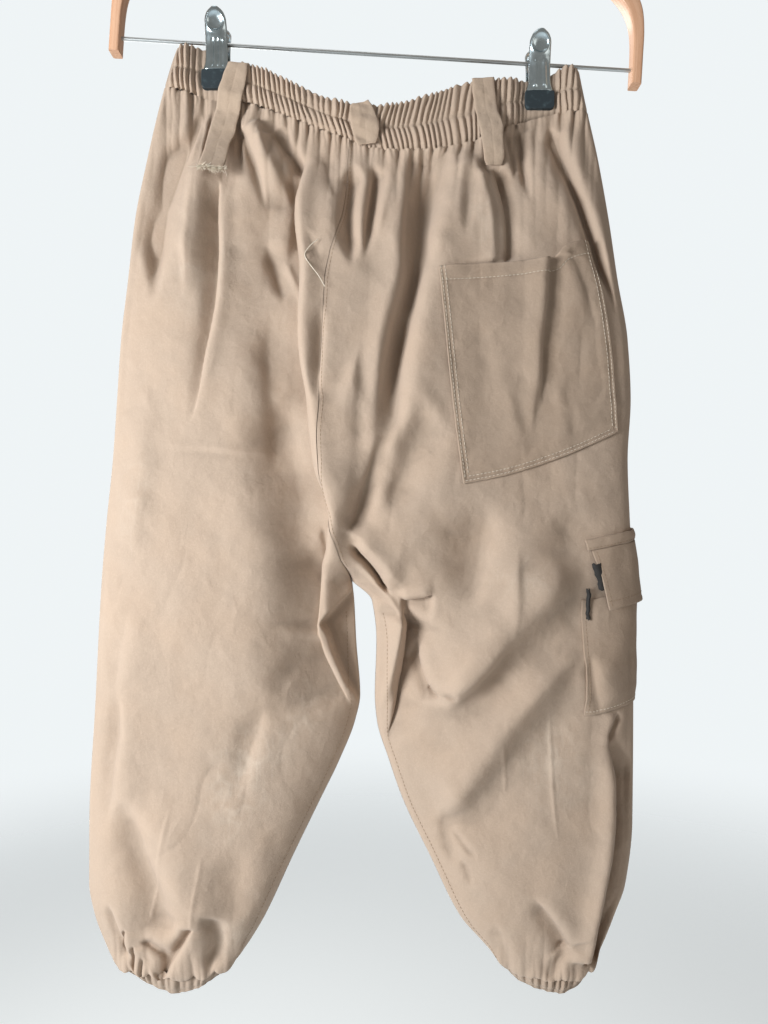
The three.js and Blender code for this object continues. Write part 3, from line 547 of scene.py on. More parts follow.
def grid_piece(name, grid, material, worn=None, flip=False, loops=False, wall=0.0):
    """a piece over a grid of points [column, row], given a wall where its edge shows"""
    n, m = grid.shape[:2]
    index = np.arange(n * m).reshape(n, m)
    if loops:
        index = np.concatenate([index, index[:1]])
    a, b, c, d = index[:-1, :-1], index[:-1, 1:], index[1:, 1:], index[1:, :-1]
    faces = np.stack([a, d, c, b] if flip else [a, b, c, d], -1).reshape(-1, 4)
    piece = new_piece(name, grid, faces.tolist(), material, worn)
    if wall:
        thick = piece.modifiers.new("wall", "SOLIDIFY")
        thick.thickness, thick.offset = wall * MM, -1
    return piece


def stands_for(piece, node, slot, **cut):
    """the piece takes its node's place; how a cloth was cut is not used"""
    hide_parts(node)
    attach(piece, "root")


def eased(rows, rounds=1):
    """rows drawn towards the rows beside them, with both ends kept"""
    rows = np.array(rows, float)
    for _ in range(rounds):
        rows[1:-1] = (rows[:-2] + 2 * rows[1:-1] + rows[2:]) / 4
    return rows


# as a colour, this pales the ridges as wear and darkens the valleys as painted shade
def relief(grid, half):
    """how far each point stands out of the cloth round it, from 0 in a valley to 1 on a ridge"""
    out = grid[..., 1] * OUTWARD[half]
    soft = out
    for _ in range(14):
        soft = eased(eased(soft).T).T
    return np.clip(0.5 + (out - soft) * 0.9, 0, 1)


# pale rubbed places, each an oval on the back with the slant of its streaks
SCUFFS = table("x z half_width half_height slant strength", """
    -108 -706 34 52 0.5 0.8 | -60 -660 26 40 0.9 0.5 | -186 -500 22 60 0.3 0.3
    -140 -330 36 60 0.2 0.35 | -112 -820 30 22 0.6 0.5 | 118 -690 36 46 -0.2 0.6
    100 -560 44 26 -0.6 0.35 | 70 -300 20 50 0.1 0.3""")
TWILL = paint(184, 164, 146)
TWILL_PITCH, WEFT_PITCH = 0.72, 0.5


def twill(name, colour=TWILL, scuffed=True):
    """faded twill: a diagonal weave, cloudy fading, ridges rubbed pale, painted shade in the valleys, and
    rubbed patches
    """
    f = Finish(name)
    x, y, z = (f.add("SeparateXYZ", {}, {0: f.place()}, axis) * 1000 for axis in "XYZ")
    fade = f.cloud(7, 4).between(0.3, 0.7)
    patch = f.cloud(28, 3).between(0.35, 0.7)
    fleck = f.cloud(900, 2, rough=0.7)
    base = f.blend(fade * 0.6, tuple(v * 0.93 for v in colour), tuple(v * 1.06 for v in colour))
    base = f.blend(patch * 0.2, base, tuple(v * k for v, k in zip(colour, (1.02, 0.93, 0.84))))
    base = f.blend(fleck.between(0.42, 0.72) * 0.22, base, tuple(min(1, v * 1.3) for v in colour))
    worn = f.add("Attribute", {"attribute_name": "worn"}, {}, "Fac")
    # painted shade: the colour darkens where the cloth lies low in its valleys; the next line pales its
    # ridges as wear
    base = f.blend(worn.between(0.5, 0.0) * 0.30, base, tuple(v * 0.62 for v in colour))
    base = f.blend(worn.between(0.55, 1.0) * 0.22, base, tuple(min(1, v * 1.22) for v in colour))
    wide, narrow = ((1 - (f.cloud(scale, 2) - 0.5).size() * sharp).clipped()
                    for scale, sharp in ((42, 11), (95, 9)))
    lines = wide + narrow * 0.4
    if scuffed:
        rubbed = 0.0
        streak = f.cloud(1, 4, f.stretched((420, 420, 26), (0, 0.5, 0)), 0.7).between(0.5, 0.74)
        for cx, cz, w, h, slant, strong in zip(*SCUFFS.values()):
            along = ((z - cz) / h) ** 2.0
            aside = ((x - cx - (z - cz) * slant * 0.5) / w) ** 2.0
            far = along + aside
            rubbed = (1 - far.maths("SQRT", far)).clipped() * strong + rubbed
        rubbed = rubbed * y.between(4, -4)
        base = f.blend((rubbed * (streak * 0.45 + lines * 0.3)).clipped(), base, paint(222, 210, 194))
    ribs = ((x * 0.8 + z + y * 0.8) * (2 * math.pi / TWILL_PITCH)).sine()
    cross = ((x - z * 0.25 - y) * (2 * math.pi / WEFT_PITCH)).sine()
    weave = ribs * 0.65 + cross * 0.2 + fleck * 0.9
    creases = f.bump(f.cloud(48, 6, rough=0.62) + lines * 0.09, 2.2, 0.6)
    normal = f.bump(weave, 0.10, 0.55, creases)
    return f.surface(Base_Color=base, Roughness=0.92, Specular_IOR_Level=0.18,
                     Sheen_Weight=0.12, Sheen_Roughness=0.6, Normal=normal)


leg_finish = twill("leg_twill")
crotch_share = (CROTCH_Z - LEG_TOP) / (LEG_BOTTOM - LEG_TOP)
for half, columns, rows in (("back", 216, 400), ("front", 110, 230)):
    above = round(rows * crotch_share)
    down = np.concatenate([crotch_share * spread(above, 0.2)[:-1],
                           mix(crotch_share, 1, spread(rows - above, 0.2))])
    for leg in ("left", "right"):
        plane = leg_plane(leg, spread(columns, 0.35)[:, None], down[None, :])
        grid = cloth(half, leg, *plane)
        if half == "front":
            grid[-1, :, 0] += INWARD[leg] * SEAM / 2      # the front seam is sewn shut
        # the panel's relief pales its ridges as wear and gives its valleys painted shade
        panel = grid_piece(f"{half}_{leg}_cloth", grid, leg_finish, relief(grid, half),
                           flip=(half == "front") != (leg == "right"))
        stands_for(panel, f"{half}_{leg}", "twill", flat=(0.30, 0.68),
                   area=0.16 if half == "back" else 0.14, held="hung", rests_on=[f"waistband_{half}"])


# ======== The hem casings ========
# Each leg ends in a narrow casing turned up round a flat elastic. The elastic draws it into small
# uneven gathers, and the leg blouses over it.
HEM_WALL = 2.2
CASING_ROWS = ([(j, 0) for j in np.linspace(0, 1, 12)] + [(1.04, 0.5), (1.02, 1.6)]
               + [(j, HEM_WALL) for j in np.linspace(0.95, 0.05, 9)])
for leg, around in (("left", 0.19), ("right", 0.175)):
    ring = []
    for half in ("back", "front"):
        x, z = (v[:, 0] for v in leg_plane(leg, spread(130, 0.8)[:, None], np.array([[1.0]])))
        out = np.maximum(np.abs(cloth(half, leg, x, z)[:, 1]) - SEAM / 2 - 1.2, 0)
        middle = (side_at[leg](z) + inner_at[leg](z)) / 2
        drop = hem_bottom[leg](x) - hem_top[leg](x)
        small = gathers(x, z, HEM_PITCH, SEEDS[half] + 9)
        rows = []
        for j, inset in CASING_ROWS:
            pinch = 1 - 0.10 * np.exp(-((j - 0.12) / 0.08) ** 2) - 0.08 * np.exp(-((j - 0.92) / 0.08) ** 2)
            puff = 1 + 0.10 * np.sin(math.pi * min(j, 1)) * small
            y = out * (1 - 0.12 * j) * pinch * puff * (1 - inset / 13)
            wide = (x - middle) * (1 - 0.1 * j) * (1 - inset / 34)
            rows.append(np.stack([middle + wide, OUTWARD[half] * (SEAM / 2 + y),
                                  z - 0.4 + drop * j + (small - 0.5) * 1.2 * j], -1))
        sheet = np.stack(rows, 1)
        ring.append(sheet[:-1] if half == "back" else sheet[::-1][:-1])
    casing = grid_piece(f"hem_{leg}_casing", np.concatenate(ring), leg_finish,
                        flip=leg == "right", loops=True)
    stands_for(casing, f"hem_{leg}", "twill", flat=(around, 0.026), held="gathered")


# ======== The gathered waistband ========
# A casing of the same twill, turned over a wide elastic and stitched along its middle. At rest the
# elastic draws it into close, uneven gathers that kink where the middle stitching crosses them.
BAND_WALL = 2.6
KINKS = table("x kink slant", """
    -165 0.6 0.5 | -112 -0.6 1 | -90 0.8 4 | -60 1.2 5.5 | -30 3 2 | 0 3.6 0 | 40 3.4 -1 | 70 1.2 -2.5
    100 0.6 -0.5 | 145 0.8 0.8""")
kink_at, slant_at = line(KINKS["x"], KINKS["kink"]), line(KINKS["x"], KINKS["slant"])


def band_relief(half, x, v):
    """how far the casing's gathers stand out: 0 to about 1"""
    sway = 1.5 * np.sin(3 * v)
    if half == "back":
        sway = kink_at(x) * (1 - np.abs(2 * v - 1)) + slant_at(x) * (1 - v)
    ridges = gathers(x + sway + 0.8 * rumple(x, v * 20, 9, 33), v * 10, WAIST_PITCH, SEEDS[half])
    return ridges * (1 - 0.6 * np.exp(-((v - 0.52) / 0.05) ** 2)) * (1 - 0.85 * squeezed(x, 12.5, 8))


# down the outside, over the turned top and down the inside
band_rows = ([(v, 0.0, 0.0) for v in np.linspace(1.04, 0, 32)]
             + [(0.0, BAND_WALL / 2 * (1 - math.cos(q)), 1.1 * math.sin(q))
                for q in np.linspace(0.4, 2.7, 5)]
             + [(v, BAND_WALL, 0.0) for v in np.linspace(0.02, 1, 14)])
for half in ("back", "front"):
    b = spread(620, 0.12)
    columns = []
    for v, inset, rise in band_rows:
        z = np.full_like(b, -190.0)
        for _ in range(8):
            x = mix(side_at["left"](z) + inset, side_at["right"](z) - inset, b)
            z = mix(band_top(x), band_bottom(x), v)
        end = np.minimum(x - side_at["left"](z), side_at["right"](z) - x) - inset
        ridges = band_relief(half, x, v) * ramp(1, 7, end)
        y = (band_half(x) - inset) * round_end(end, 8 - inset)
        tuck = 2.4 * ramp(0.9, 1.04, v) * (inset == 0)
        pillow = 0.9 * np.sin(2 * math.pi * v) ** 2 * ramp(1, 7, end)
        proud = 3.2 * ridges * (1 if inset == 0 else 0.35) - tuck + pillow
        z = z + rise + (ridges - 0.5) * 2.2 * (1 - v) ** 4 + 0.5 * rumple(x, z, 11, 34) * (1 - v)
        columns.append(np.stack([x, OUTWARD[half] * (SEAM / 2 + y + proud), z], -1))
    band_grid = np.stack(columns, 1)[:, ::-1]
    # the gathers' ridges are rubbed pale, with painted shade in the valleys between them and a little on the
    # turned top and inside
    worn = np.stack([np.clip(band_relief(half, points[:, 0], v) * 1.2 - 0.15, 0, 1) if inset == 0
                     else np.full(len(b), 0.35)
                     for points, (v, inset, rise) in zip(columns, band_rows)], 1)[:, ::-1]
    casing = grid_piece(f"waistband_{half}_casing", band_grid, leg_finish, worn, flip=half == "back")
    stands_for(casing, f"waistband_{half}", "twill", flat=(0.42, 0.060), held="gathered",
               rests_on=["clip_left_pad_" + half, "clip_right_pad_" + half])


# ======== The patch pocket ========
# One piece of the same twill, its edges turned in and sewn down on three sides over the right seat.
# Its top is turned over in a deeper hem. It hangs a little open and folds down its middle.
POCKET_TOP = table("share z", """
    0 -334 | 0.64 -327.5 | 0.76 -324 | 0.82 -316.5 | 1 -309.5""")
POCKET_BOTTOM = table("share z", """
    0 -490.2 | 0.25 -484.4 | 0.62 -470.6 | 1 -451.4""")
POCKET_SIDES = table("share left right", """
    0 34.6 147.7 | 0.3 39.7 158 | 0.6 44.5 164 | 1 52.7 168.9""")
POCKET_FOLDS = table("x0 z0 x1 z1 bow wl wr h f0 f1", """
    112 -320 103 -462 -1 9 4 3 0.05 0.35
    117 -322 112 -440 -2 3 15 -4.5 0.02 0.4
    131 -318 152 -385 2 4 7 -1.8 0.05 0.4
    130 -408 134 -466 1 4 4 -1 0.3 0.3
    60 -350 72 -470 3 14 12 -1.4 0.3 0.4
    140 -350 146 -446 0 15 13 -3 0.3 0.3
    84 -420 98 -475 1 8 6 1.2 0.3 0.3""")
POCKET_WIDE, POCKET_TALL = 120, 150
pocket_top, pocket_bottom = line(*POCKET_TOP.values()), line(*POCKET_BOTTOM.values())
pocket_left = line(POCKET_SIDES["share"], POCKET_SIDES["left"])
pocket_right = line(POCKET_SIDES["share"], POCKET_SIDES["right"])


def pocket(s, t, lift=0.0):
    """the pocket's outer face at the share s across and t down"""
    x, z = mix(pocket_left(t), pocket_right(t), s), mix(pocket_top(s), pocket_bottom(s), t)
    under = -cloth("back", "right", x, z)[..., 1]
    out, aside_x, aside_z = folded(POCKET_FOLDS, x, z)
    edge = np.minimum(np.minimum(s, 1 - s) * POCKET_WIDE, (1 - t) * POCKET_TALL)
    top = t * POCKET_TALL
    belly = 3.4 * np.sin(math.pi * s) * np.sin(math.pi * np.minimum(1, 0.25 + t))
    inside = ramp(2, 16, edge)
    groove = -0.5 * np.exp(-((edge - 2.2) / 0.8) ** 2) - 0.45 * np.exp(-((top - 10) / 0.8) ** 2)
    turned = 0.5 * (1 - ramp(1.5, 3, edge)) + 0.45 * (1 - ramp(9, 11, top))
    pucker = 0.35 * np.exp(-((edge - 3) / 4) ** 2) * rumple(x, z, 4.5, 55)
    uneven = 0.8 * rumple(x, z, 26, 51) * inside + 0.25 * rumple(x, z, 9, 52)
    open_top = 0.9 * ramp(0.5, 0.9, s) * (1 - ramp(0, 14, top))
    stand = 1.3 + open_top + belly + (out + 0.35 * belly) * inside + groove + turned + pucker + uneven
    stand = np.maximum(stand, 0.7)
    return np.stack([x + aside_x * inside, -(under + stand + lift), z], -1)


pocket_finish = twill("pocket_twill", paint(172, 152, 134), scuffed=False)
SEWN_WIDE = 118
across, down = spread(120, 0.1)[:, None], spread(150, 0.1)[None, :]
pocket_grid = pocket(across, down)
rim = np.maximum(np.exp(-down * POCKET_TALL), np.exp(-SEWN_WIDE * np.minimum(across, 1 - across)))
# the pocket's edges rubbed pale as wear, and painted shade in the valleys of its folds from the relief
patch = grid_piece("patch_pocket_cloth", pocket_grid, pocket_finish,
                   relief(pocket_grid, "back") + 1.2 * rim, wall=0.9)
stands_for(patch, "patch_pocket", "pocket_twill", flat=(0.125, 0.158), held="hung",
           rests_on=["back_right_cloth"])


# ======== The cargo pocket, its flap and its binding ========
# A flat bag of twill sewn over the outer seam of the right leg, below a flap that hangs from a bound
# strip. The flap's back corner stands off, and black hook tape shows between it and the bag.
def walked(path):
    """the way along a path to each of its points"""
    return np.concatenate([[0], np.cumsum(np.linalg.norm(np.diff(path, axis=0), axis=1))])


def unit(vectors): return vectors / (np.linalg.norm(vectors, axis=-1)[..., None] + 1e-9)


LEVELS, ROUND = np.linspace(-515, -665, 101), np.linspace(-62, 112, 349)
leg_round = np.zeros((len(LEVELS), len(ROUND), 2))     # the right leg's outline round its side seam
for k, z in enumerate(LEVELS):
    share = 0.75 * np.linspace(0, 1, 121) ** 2.5
    x = mix(side_at["right"](z), leg_centre("right", z), share)
    back, front = (cloth(h, "right", x, np.full_like(x, z), detail=0.25)[:, :2] for h in ("back", "front"))
    path = np.concatenate([back[:0:-1], [(back[0] + front[0]) / 2], front[1:]])
    path[:, 0] = np.minimum(path[:, 0], side_at["right"](z))
    way = walked(path)
    way -= way[len(back) - 1]
    leg_round[k] = np.stack([np.interp(ROUND, way, path[:, 0]), np.interp(ROUND, way, path[:, 1])], -1)


def round_the_side(u, z, lift):
    """a point at the distance u round the right leg from its side seam, minus on the back"""
    def outline(v):
        i, j = (LEVELS[0] - z) / (LEVELS[0] - LEVELS[1]), (v - ROUND[0]) / (ROUND[1] - ROUND[0])
        i0, j0 = np.clip(i.astype(int), 0, len(LEVELS) - 2), np.clip(j.astype(int), 0, len(ROUND) - 2)
        f, g = (i - i0)[..., None], (j - j0)[..., None]
        return mix(mix(leg_round[i0, j0], leg_round[i0 + 1, j0], f),
                   mix(leg_round[i0, j0 + 1], leg_round[i0 + 1, j0 + 1], f), g)
    here, before, after = outline(u), outline(u - 3), outline(u + 3)
    along = unit(after - before)
    flat = here + np.stack([along[..., 1], -along[..., 0]], -1) * lift[..., None]
    return np.stack([flat[..., 0], flat[..., 1], z + 0 * flat[..., 0]], -1)


def side_piece(name, node, top, drop, back, front, rows, wall, lift_at):
    """one piece wrapped round the leg: its top's height behind and before, its drop, its back edge above
    and below, and its front edge. lift_at gives how far it stands off at the shares s and t"""
    s, t = spread(160, 0.2)[:, None], spread(rows, 0.1)[None, :]
    u = mix(mix(*back, t), front, s)
    z = mix(*top, np.clip((u + 45) / 50, 0, 1)) - drop * t
    grid = round_the_side(u, z, lift_at(s, t, u) + 0 * u)
    # the relief gives the pieces' ridges pale wear and their valleys painted shade
    piece = grid_piece(name, grid, pocket_finish, relief(grid, "back"), wall=wall)
    stands_for(piece, node, "pocket_twill")
    return piece, grid


def edges(s, t, width, height):
    """millimetres to the nearest edge"""
    return np.minimum(np.minimum(s, 1 - s) * width, np.minimum(t, 1 - t) * height)


BAG_DROP, BAG_ROUND, FLAP_DROP, BINDING_DROP = 84, 138, 44, 8.4
bag, bag_grid = side_piece(
    "cargo_pocket_cloth", "cargo_pocket", top=(-574, -564), drop=BAG_DROP, back=(-53, -52), front=92,
    rows=56, wall=1.0, lift_at=lambda s, t, u:
    1.3 + 1.4 * ramp(0, 12, edges(s, t, BAG_ROUND, BAG_DROP)) + 0.5 * rumple(u, BAG_DROP * t, 13, 61)
    - 2.0 * np.exp(-((u + 14) / 3.0) ** 2) * ramp(0.45, 0.6, t) * (1 - t))
flap, flap_grid = side_piece(
    "cargo_flap_cloth", "cargo_flap", top=(-539.1, -530.1), drop=FLAP_DROP, back=(-42, -35), front=96,
    rows=34, wall=1.1, lift_at=lambda s, t, u:
    2.6 + 3.4 * t + 1.5 * t * np.exp(-(s / 0.1) ** 2) + 0.5 * rumple(u, 40 * t, 11, 62)
    + 0.5 * (1 - ramp(2, 3, FLAP_DROP * (1 - t))))
binding, binding_grid = side_piece(
    "cargo_binding_cloth", "cargo_binding", top=(-530.6, -521.6), drop=BINDING_DROP, back=(-46, -45),
    front=98, rows=10, wall=1.4, lift_at=lambda s, t, u:
    2.2 + 0.9 * np.sin(math.pi * t) + 0.25 * rumple(u, 8 * t, 5, 63))
hook_tape = Finish("hook_tape")
hooks = hook_tape.cloud(1400, 2)
tape_finish = hook_tape.surface(Base_Color=hook_tape.blend(hooks, paint(14, 14, 15), paint(48, 46, 44)),
                                Roughness=0.7, Normal=hook_tape.bump(hooks, 0.5, 0.8))
s, t = spread(24, 0)[:, None], spread(30, 0)[None, :]
for k, (u0, u1, z0, z1, stand) in enumerate(((-45, -37, -548, -567, 3.0), (-50.5, -47, -566, -588, 2.4))):
    u = mix(u0, u1, s) + 0.7 * rumple(s * 2, t * 40, 5, 66 + k) + 4 * t * (k == 0)
    tape_grid = round_the_side(u, mix(z0, z1, t) + 1.2 * rumple(s * 30, t * 3, 4, 68 + k),
                               stand + 1.5 * np.sin(math.pi * s) + 0 * t)
    tape = grid_piece(f"cargo_hook_tape_{k + 1}", tape_grid, tape_finish, wall=0.9)
    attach(tape, "root")


# ======== The belt loops ========
# Strips of the same twill folded in four and stitched down the middle, caught in the waistband's top.
# The left one has torn loose below and frays, the right one has kinked out and tucks under itself.
LOOPS = {
    "belt_loop_left": table("x z width clear", """
        -112 -178.8 13 1.2 | -112.6 -184 15 1.3 | -114.5 -191 17 1.3 | -117.2 -200 17.5 1.4
        -121.2 -213 17.5 1.8 | -124.6 -225.5 18 2.6 | -127.2 -246.5 17.5 4 | -129 -261.5 17.8 5.2"""),
    "belt_loop_centre": table("x z width clear", """
        -22.5 -208 13 1.2 | -21 -213 17.5 1.6 | -19.2 -221 19 2.4 | -17.6 -229 18 2.2
        -16.8 -235 16 1.4 | -16.6 -238.5 13 0.8"""),
    "belt_loop_right": table("x z width clear", """
        69.2 -189.8 15.5 1.3 | 70 -203 15.5 1.4 | 71.6 -216 15.5 3 | 74.6 -229.8 15.3 5.4
        76 -242 15 5.4 | 76.3 -250 14 3.6 | 76.4 -254.6 10.5 0.8"""),
    "belt_loop_front_left": table("x z width clear", """
        -95 -183 17 1.2 | -95 -200 17 2.2 | -95 -216 17 2.2 | -95 -233 17 1"""),
    "belt_loop_front_right": table("x z width clear", """
        62 -192 17 1.2 | 62 -209 17 2.2 | 62 -225 17 2.2 | 62 -242 17 1""")}


def outermost(half, x, z, reach):
    """how far the garment stands out round a point"""
    most = 0.0
    for across in (-reach, -reach / 2, 0, reach / 2, reach):
        for up in (-5, 0, 5):
            here, level = x + across, z + up
            leg = "left" if here < seam_at(min(level, -200)) else "right"
            if level > band_bottom(here) - 1:
                out = SEAM / 2 + band_half(here) + 2.2
            else:
                out = abs(cloth(half, leg, np.array([here]), np.array([level]))[0, 1])
            most = max(most, float(out))
    return most


loop_finish = twill("loop_twill", paint(180, 160, 141), scuffed=False)
loop_grids = {}
for node, row in LOOPS.items():
    half = "front" if "front" in node else "back"
    n = len(row["x"])
    step = np.arange(n)
    outs = [outermost(half, x, z, w / 2) + c for x, z, w, c in zip(*row.values())]
    down = np.linspace(0, n - 1, 90)
    x, z = line(step, row["x"])(down), line(step, row["z"])(down)
    out, width = line(step, outs)(down), line(step, row["width"])(down)
    lean = unit(np.stack([np.gradient(x), np.gradient(z)], -1))
    s = np.linspace(-1, 1, 25)[:, None]
    level = z[None, :]
    crown = (0.7 * (1 - np.abs(s) ** 5) + 0.12 * np.exp(-((np.abs(s) - 0.86) / 0.08) ** 2)
             - 0.16 * np.exp(-(s / 0.06) ** 2)
             + 0.7 * rumple(s * 8, level, 9, 81) + 0.25 * rumple(s * 8, level, 4, 84))
    edge = s * width / 2 + 0.9 * rumple(s * 3, level, 9, 82)
    if node == "belt_loop_centre":      # crumpled between the gathers
        crown = crown + 1.5 * rumple(s * 8 + level * 0.5, level, 7, 85)
    grid = np.stack([x - lean[:, 1] * edge, OUTWARD[half] * (out + crown), z + lean[:, 0] * edge], -1)
    loop_grids[node] = grid
    wear_and_shade_layer = np.clip(0.4 + 0.6 * np.abs(s) ** 8 + 0.15 * rumple(s * 8, level, 10, 83), 0, 1)
    strip = grid_piece(node + "_strip", grid, loop_finish, wear_and_shade_layer, flip=half == "back", wall=1.3)
    long = float(np.sum(np.hypot(np.diff(x), np.diff(z)))) * MM
    stands_for(strip, node, "loop_tape", flat=(0.0175, long), held="hung",
               rests_on=[f"waistband_{half}_casing"])


# ======== The stitching and the loose threads ========
# Cream cotton thread round the patch pocket, khaki thread on the seams and the cargo pocket, the frayed
# end of the torn loop, and one long thread that hangs loose by the centre seam.
def cotton(name, dark, light):
    """a finish of spun thread"""
    f = Finish(name)
    spun = f.cloud(700, 2)
    return f.surface(Base_Color=f.blend(spun, dark, light), Roughness=0.85, Specular_IOR_Level=0.2,
                     Normal=f.bump(spun, 0.1, 0.4))


thread_finish = cotton("thread", paint(214, 203, 184), paint(240, 232, 216))
khaki_finish = cotton("khaki_thread", paint(140, 118, 98), paint(178, 156, 134))


def round_bar(run, radius, sides, lean):
    """points round a line, [side, step]; lean sets where the first side lies"""
    run = np.asarray(run, float)
    along = unit(np.gradient(run, axis=0))
    aside = unit(np.cross(along, lean))
    up = np.cross(along, aside)
    return np.stack([run + (aside * math.cos(q) + up * math.sin(q)) * radius
                     for q in np.linspace(0, 2 * math.pi, sides, endpoint=False)])


def tubes(name, lines, radius, sides=5, finish=thread_finish):
    """round threads along many short lines, each an array of points"""
    points, faces, start = [], [], 0
    for run in lines:
        n = len(run)
        taper = np.ones((n, 1))
        taper[0] = taper[-1] = 0.45
        points.append(round_bar(run, radius * taper, sides, (0.31, 0.93, 0.21)).reshape(-1, 3))
        for k in range(sides):
            a, b = start + k * n, start + (k + 1) % sides * n
            faces += [(a + i, a + i + 1, b + i + 1, b + i) for i in range(n - 1)]
        start += n * sides
    threads = new_piece(name, np.concatenate(points), faces, finish)
    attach(threads, "root")


STITCH, STITCH_POINTS = 0.7, 5      # the share of its pitch that a stitch shows


def stitches(run, out, pitch, lift=0.3):
    """the stitches of one sewn line: short arches along a run of points"""
    run, out = np.asarray(run, float), np.broadcast_to(np.asarray(out, float), np.shape(run))
    way = walked(run)
    lines = []
    for k in range(int(way[-1] / pitch)):
        at = k * pitch + np.linspace(0, STITCH * pitch, STITCH_POINTS)
        base = np.stack([np.interp(at, way, run[:, c]) for c in range(3)], -1)
        face = np.stack([np.interp(at, way, out[:, c]) for c in range(3)], -1)
        arch = lift * np.sin(np.linspace(0.15, math.pi - 0.15, STITCH_POINTS))[:, None]
        lines.append(base + face * arch)
    return lines


way = np.linspace(0, 1, 260)
pocket_runs = []
for edge in (1.8, 4.6):      # two rows round the three sewn sides
    in_side, in_end = edge / SEWN_WIDE, 1 - edge / POCKET_TALL
    pocket_runs += [(in_side + 0 * way, way * in_end),
                    (in_side + way * (1 - 2 * in_side), in_end + 0 * way),
                    (1 - in_side + 0 * way, way * in_end)]
pocket_runs.append((0.01 + 0.98 * way, 10 / POCKET_TALL + 0 * way))      # the top hem
pocket_lines = []
for across, down in pocket_runs:
    pocket_lines += stitches(eased(pocket(across, down, 0.1), 3), (0, -1, 0), 2.9)
tubes("pocket_stitching", pocket_lines, 0.21)


def row_at(grid, share): return grid[1:-1, round(share * (grid.shape[1] - 1))]


edge_lines = []
for grid in (flap_grid, binding_grid):
    edge_lines += stitches(row_at(grid, 0.84), (0.3, -0.95, 0), 2.8, lift=0.2)
for grid in (bag_grid, flap_grid):
    for i in (4, -5):
        edge_lines += stitches(grid[i, 1:-1], (0, -1 if i > 0 else 1, 0), 2.8, lift=0.2)
tubes("cargo_edge_stitching", edge_lines, 0.18, 4, khaki_finish)
tubes("cargo_stitching", stitches(row_at(bag_grid, 0.97), (0.3, -0.95, 0), 2.8), 0.2)

z_run = np.linspace(-236, -552, 420)
seam_lines = stitches(cloth("back", "right", seam_at(z_run) + 1.7, z_run), (0, -1, 0), 3.0, lift=0.1)
z_run = np.linspace(-585, -838, 300)
for leg in ("left", "right"):
    x_run = inner_at[leg](z_run) - INWARD[leg] * 6
    seam_lines += stitches(cloth("back", leg, x_run, z_run), (0.6 * INWARD[leg], -0.8, 0), 3.0, lift=0.2)
tubes("seam_stitching", seam_lines, 0.2, 4, khaki_finish)

loop_lines = []
for node, grid in loop_grids.items():
    sense = 1 if "front" in node else -1
    loop_lines += stitches(grid[12, 2:-2], (0, sense, 0), 3.4, lift=0.4)
FRAYED_ENDS = 170
rng = np.random.default_rng(4)
torn = loop_grids["belt_loop_left"][:, -1]
for _ in range(FRAYED_ENDS):
    root = torn[rng.integers(0, 25)] + [0, rng.uniform(-0.2, 1.3), 1.5]
    way = np.array([rng.uniform(-0.6, 0.6), rng.uniform(-0.7, 0.1), -1.0])
    bend = np.array([rng.uniform(-0.9, 0.9), rng.uniform(-0.6, 0.3), rng.uniform(-0.1, 1.1)])
    size = rng.uniform(2.0, 7.0)
    q = np.linspace(0, 1, 7)[:, None]
    loop_lines.append(root + (way * q + bend * q ** 2 * 0.8) * size)
tubes("loop_stitching_and_fray", loop_lines, 0.17, 4)

STRAY = table("way x z", """
    0 -51.5 -315 | 0.22 -57.5 -320.5 | 0.42 -61 -327 | 0.62 -54 -338 | 0.8 -51 -342 | 1 -46.5 -350""")
q = np.linspace(0, 1, 80)
stray_x, stray_z = line(STRAY["way"], STRAY["x"])(q), line(STRAY["way"], STRAY["z"])(q)
highest = np.min([cloth("back", "left", stray_x + aside, stray_z)[:, 1]
                  for aside in (-8, -4, 0, 4, 8)], axis=0)
under = np.stack([stray_x, highest, stray_z], -1)
for _ in range(40):
    under[1:-1, 1] = np.minimum(under[1:-1, 1], (under[:-2, 1] + under[2:, 1]) / 2)
tubes("loose_thread", [eased(under + [0, -0.7, 0], 6)], 0.3, 6)


# ======== The wooden hanger and its bar ========
# One steam-bent beech bow, planed square with eased edges and clear lacquer. A drawn steel bar is
# socketed into its two tips, and a steel hook is screwed into its top.
TILT = math.radians(3.6)
BAR_MIDDLE = (-10.4, -165.0)


def hung(x, y, z):
    """a point of the hanger, given from the bar's middle, turned as it hangs"""
    x, y, z = np.broadcast_arrays(x, y, z)
    return np.stack([BAR_MIDDLE[0] + x * math.cos(TILT) + z * math.sin(TILT), y,
                     BAR_MIDDLE[1] - x * math.sin(TILT) + z * math.cos(TILT)], -1)


ARM = table("x z width", """
    196.2 -12 7.5 | 196.2 8 7.5 | 195.9 28 8.5 | 192.5 45 11 | 182 60 13 | 165 71 13.5 | 135 80 14
    95 88 15 | 50 95 16 | 0 98 17""")
spine_x, spine_z, spine_w = (np.concatenate([half, sense * half[-2::-1]])
                             for half, sense in zip(ARM.values(), (-1, 1, 1)))
way = walked(np.stack([spine_x, spine_z], -1))
fine = np.linspace(0, way[-1], 260)
sx, sz, sw = np.interp(fine, way, spine_x), np.interp(fine, way, spine_z), line(way, spine_w)(fine)
sx, sz = eased(np.stack([sx, sz], -1), 24).T
tangent = unit(np.stack([np.gradient(sx), np.gradient(sz)], -1))


def corners(steps):
    """a rounded outline's points: each one's corner, and its turn round it"""
    return [(cx, cy, math.radians(start + q))
            for cx, cy, start in ((1, 1, 0), (-1, 1, 90), (-1, -1, 180), (1, -1, 270))
            for q in np.linspace(0, 90, steps)]


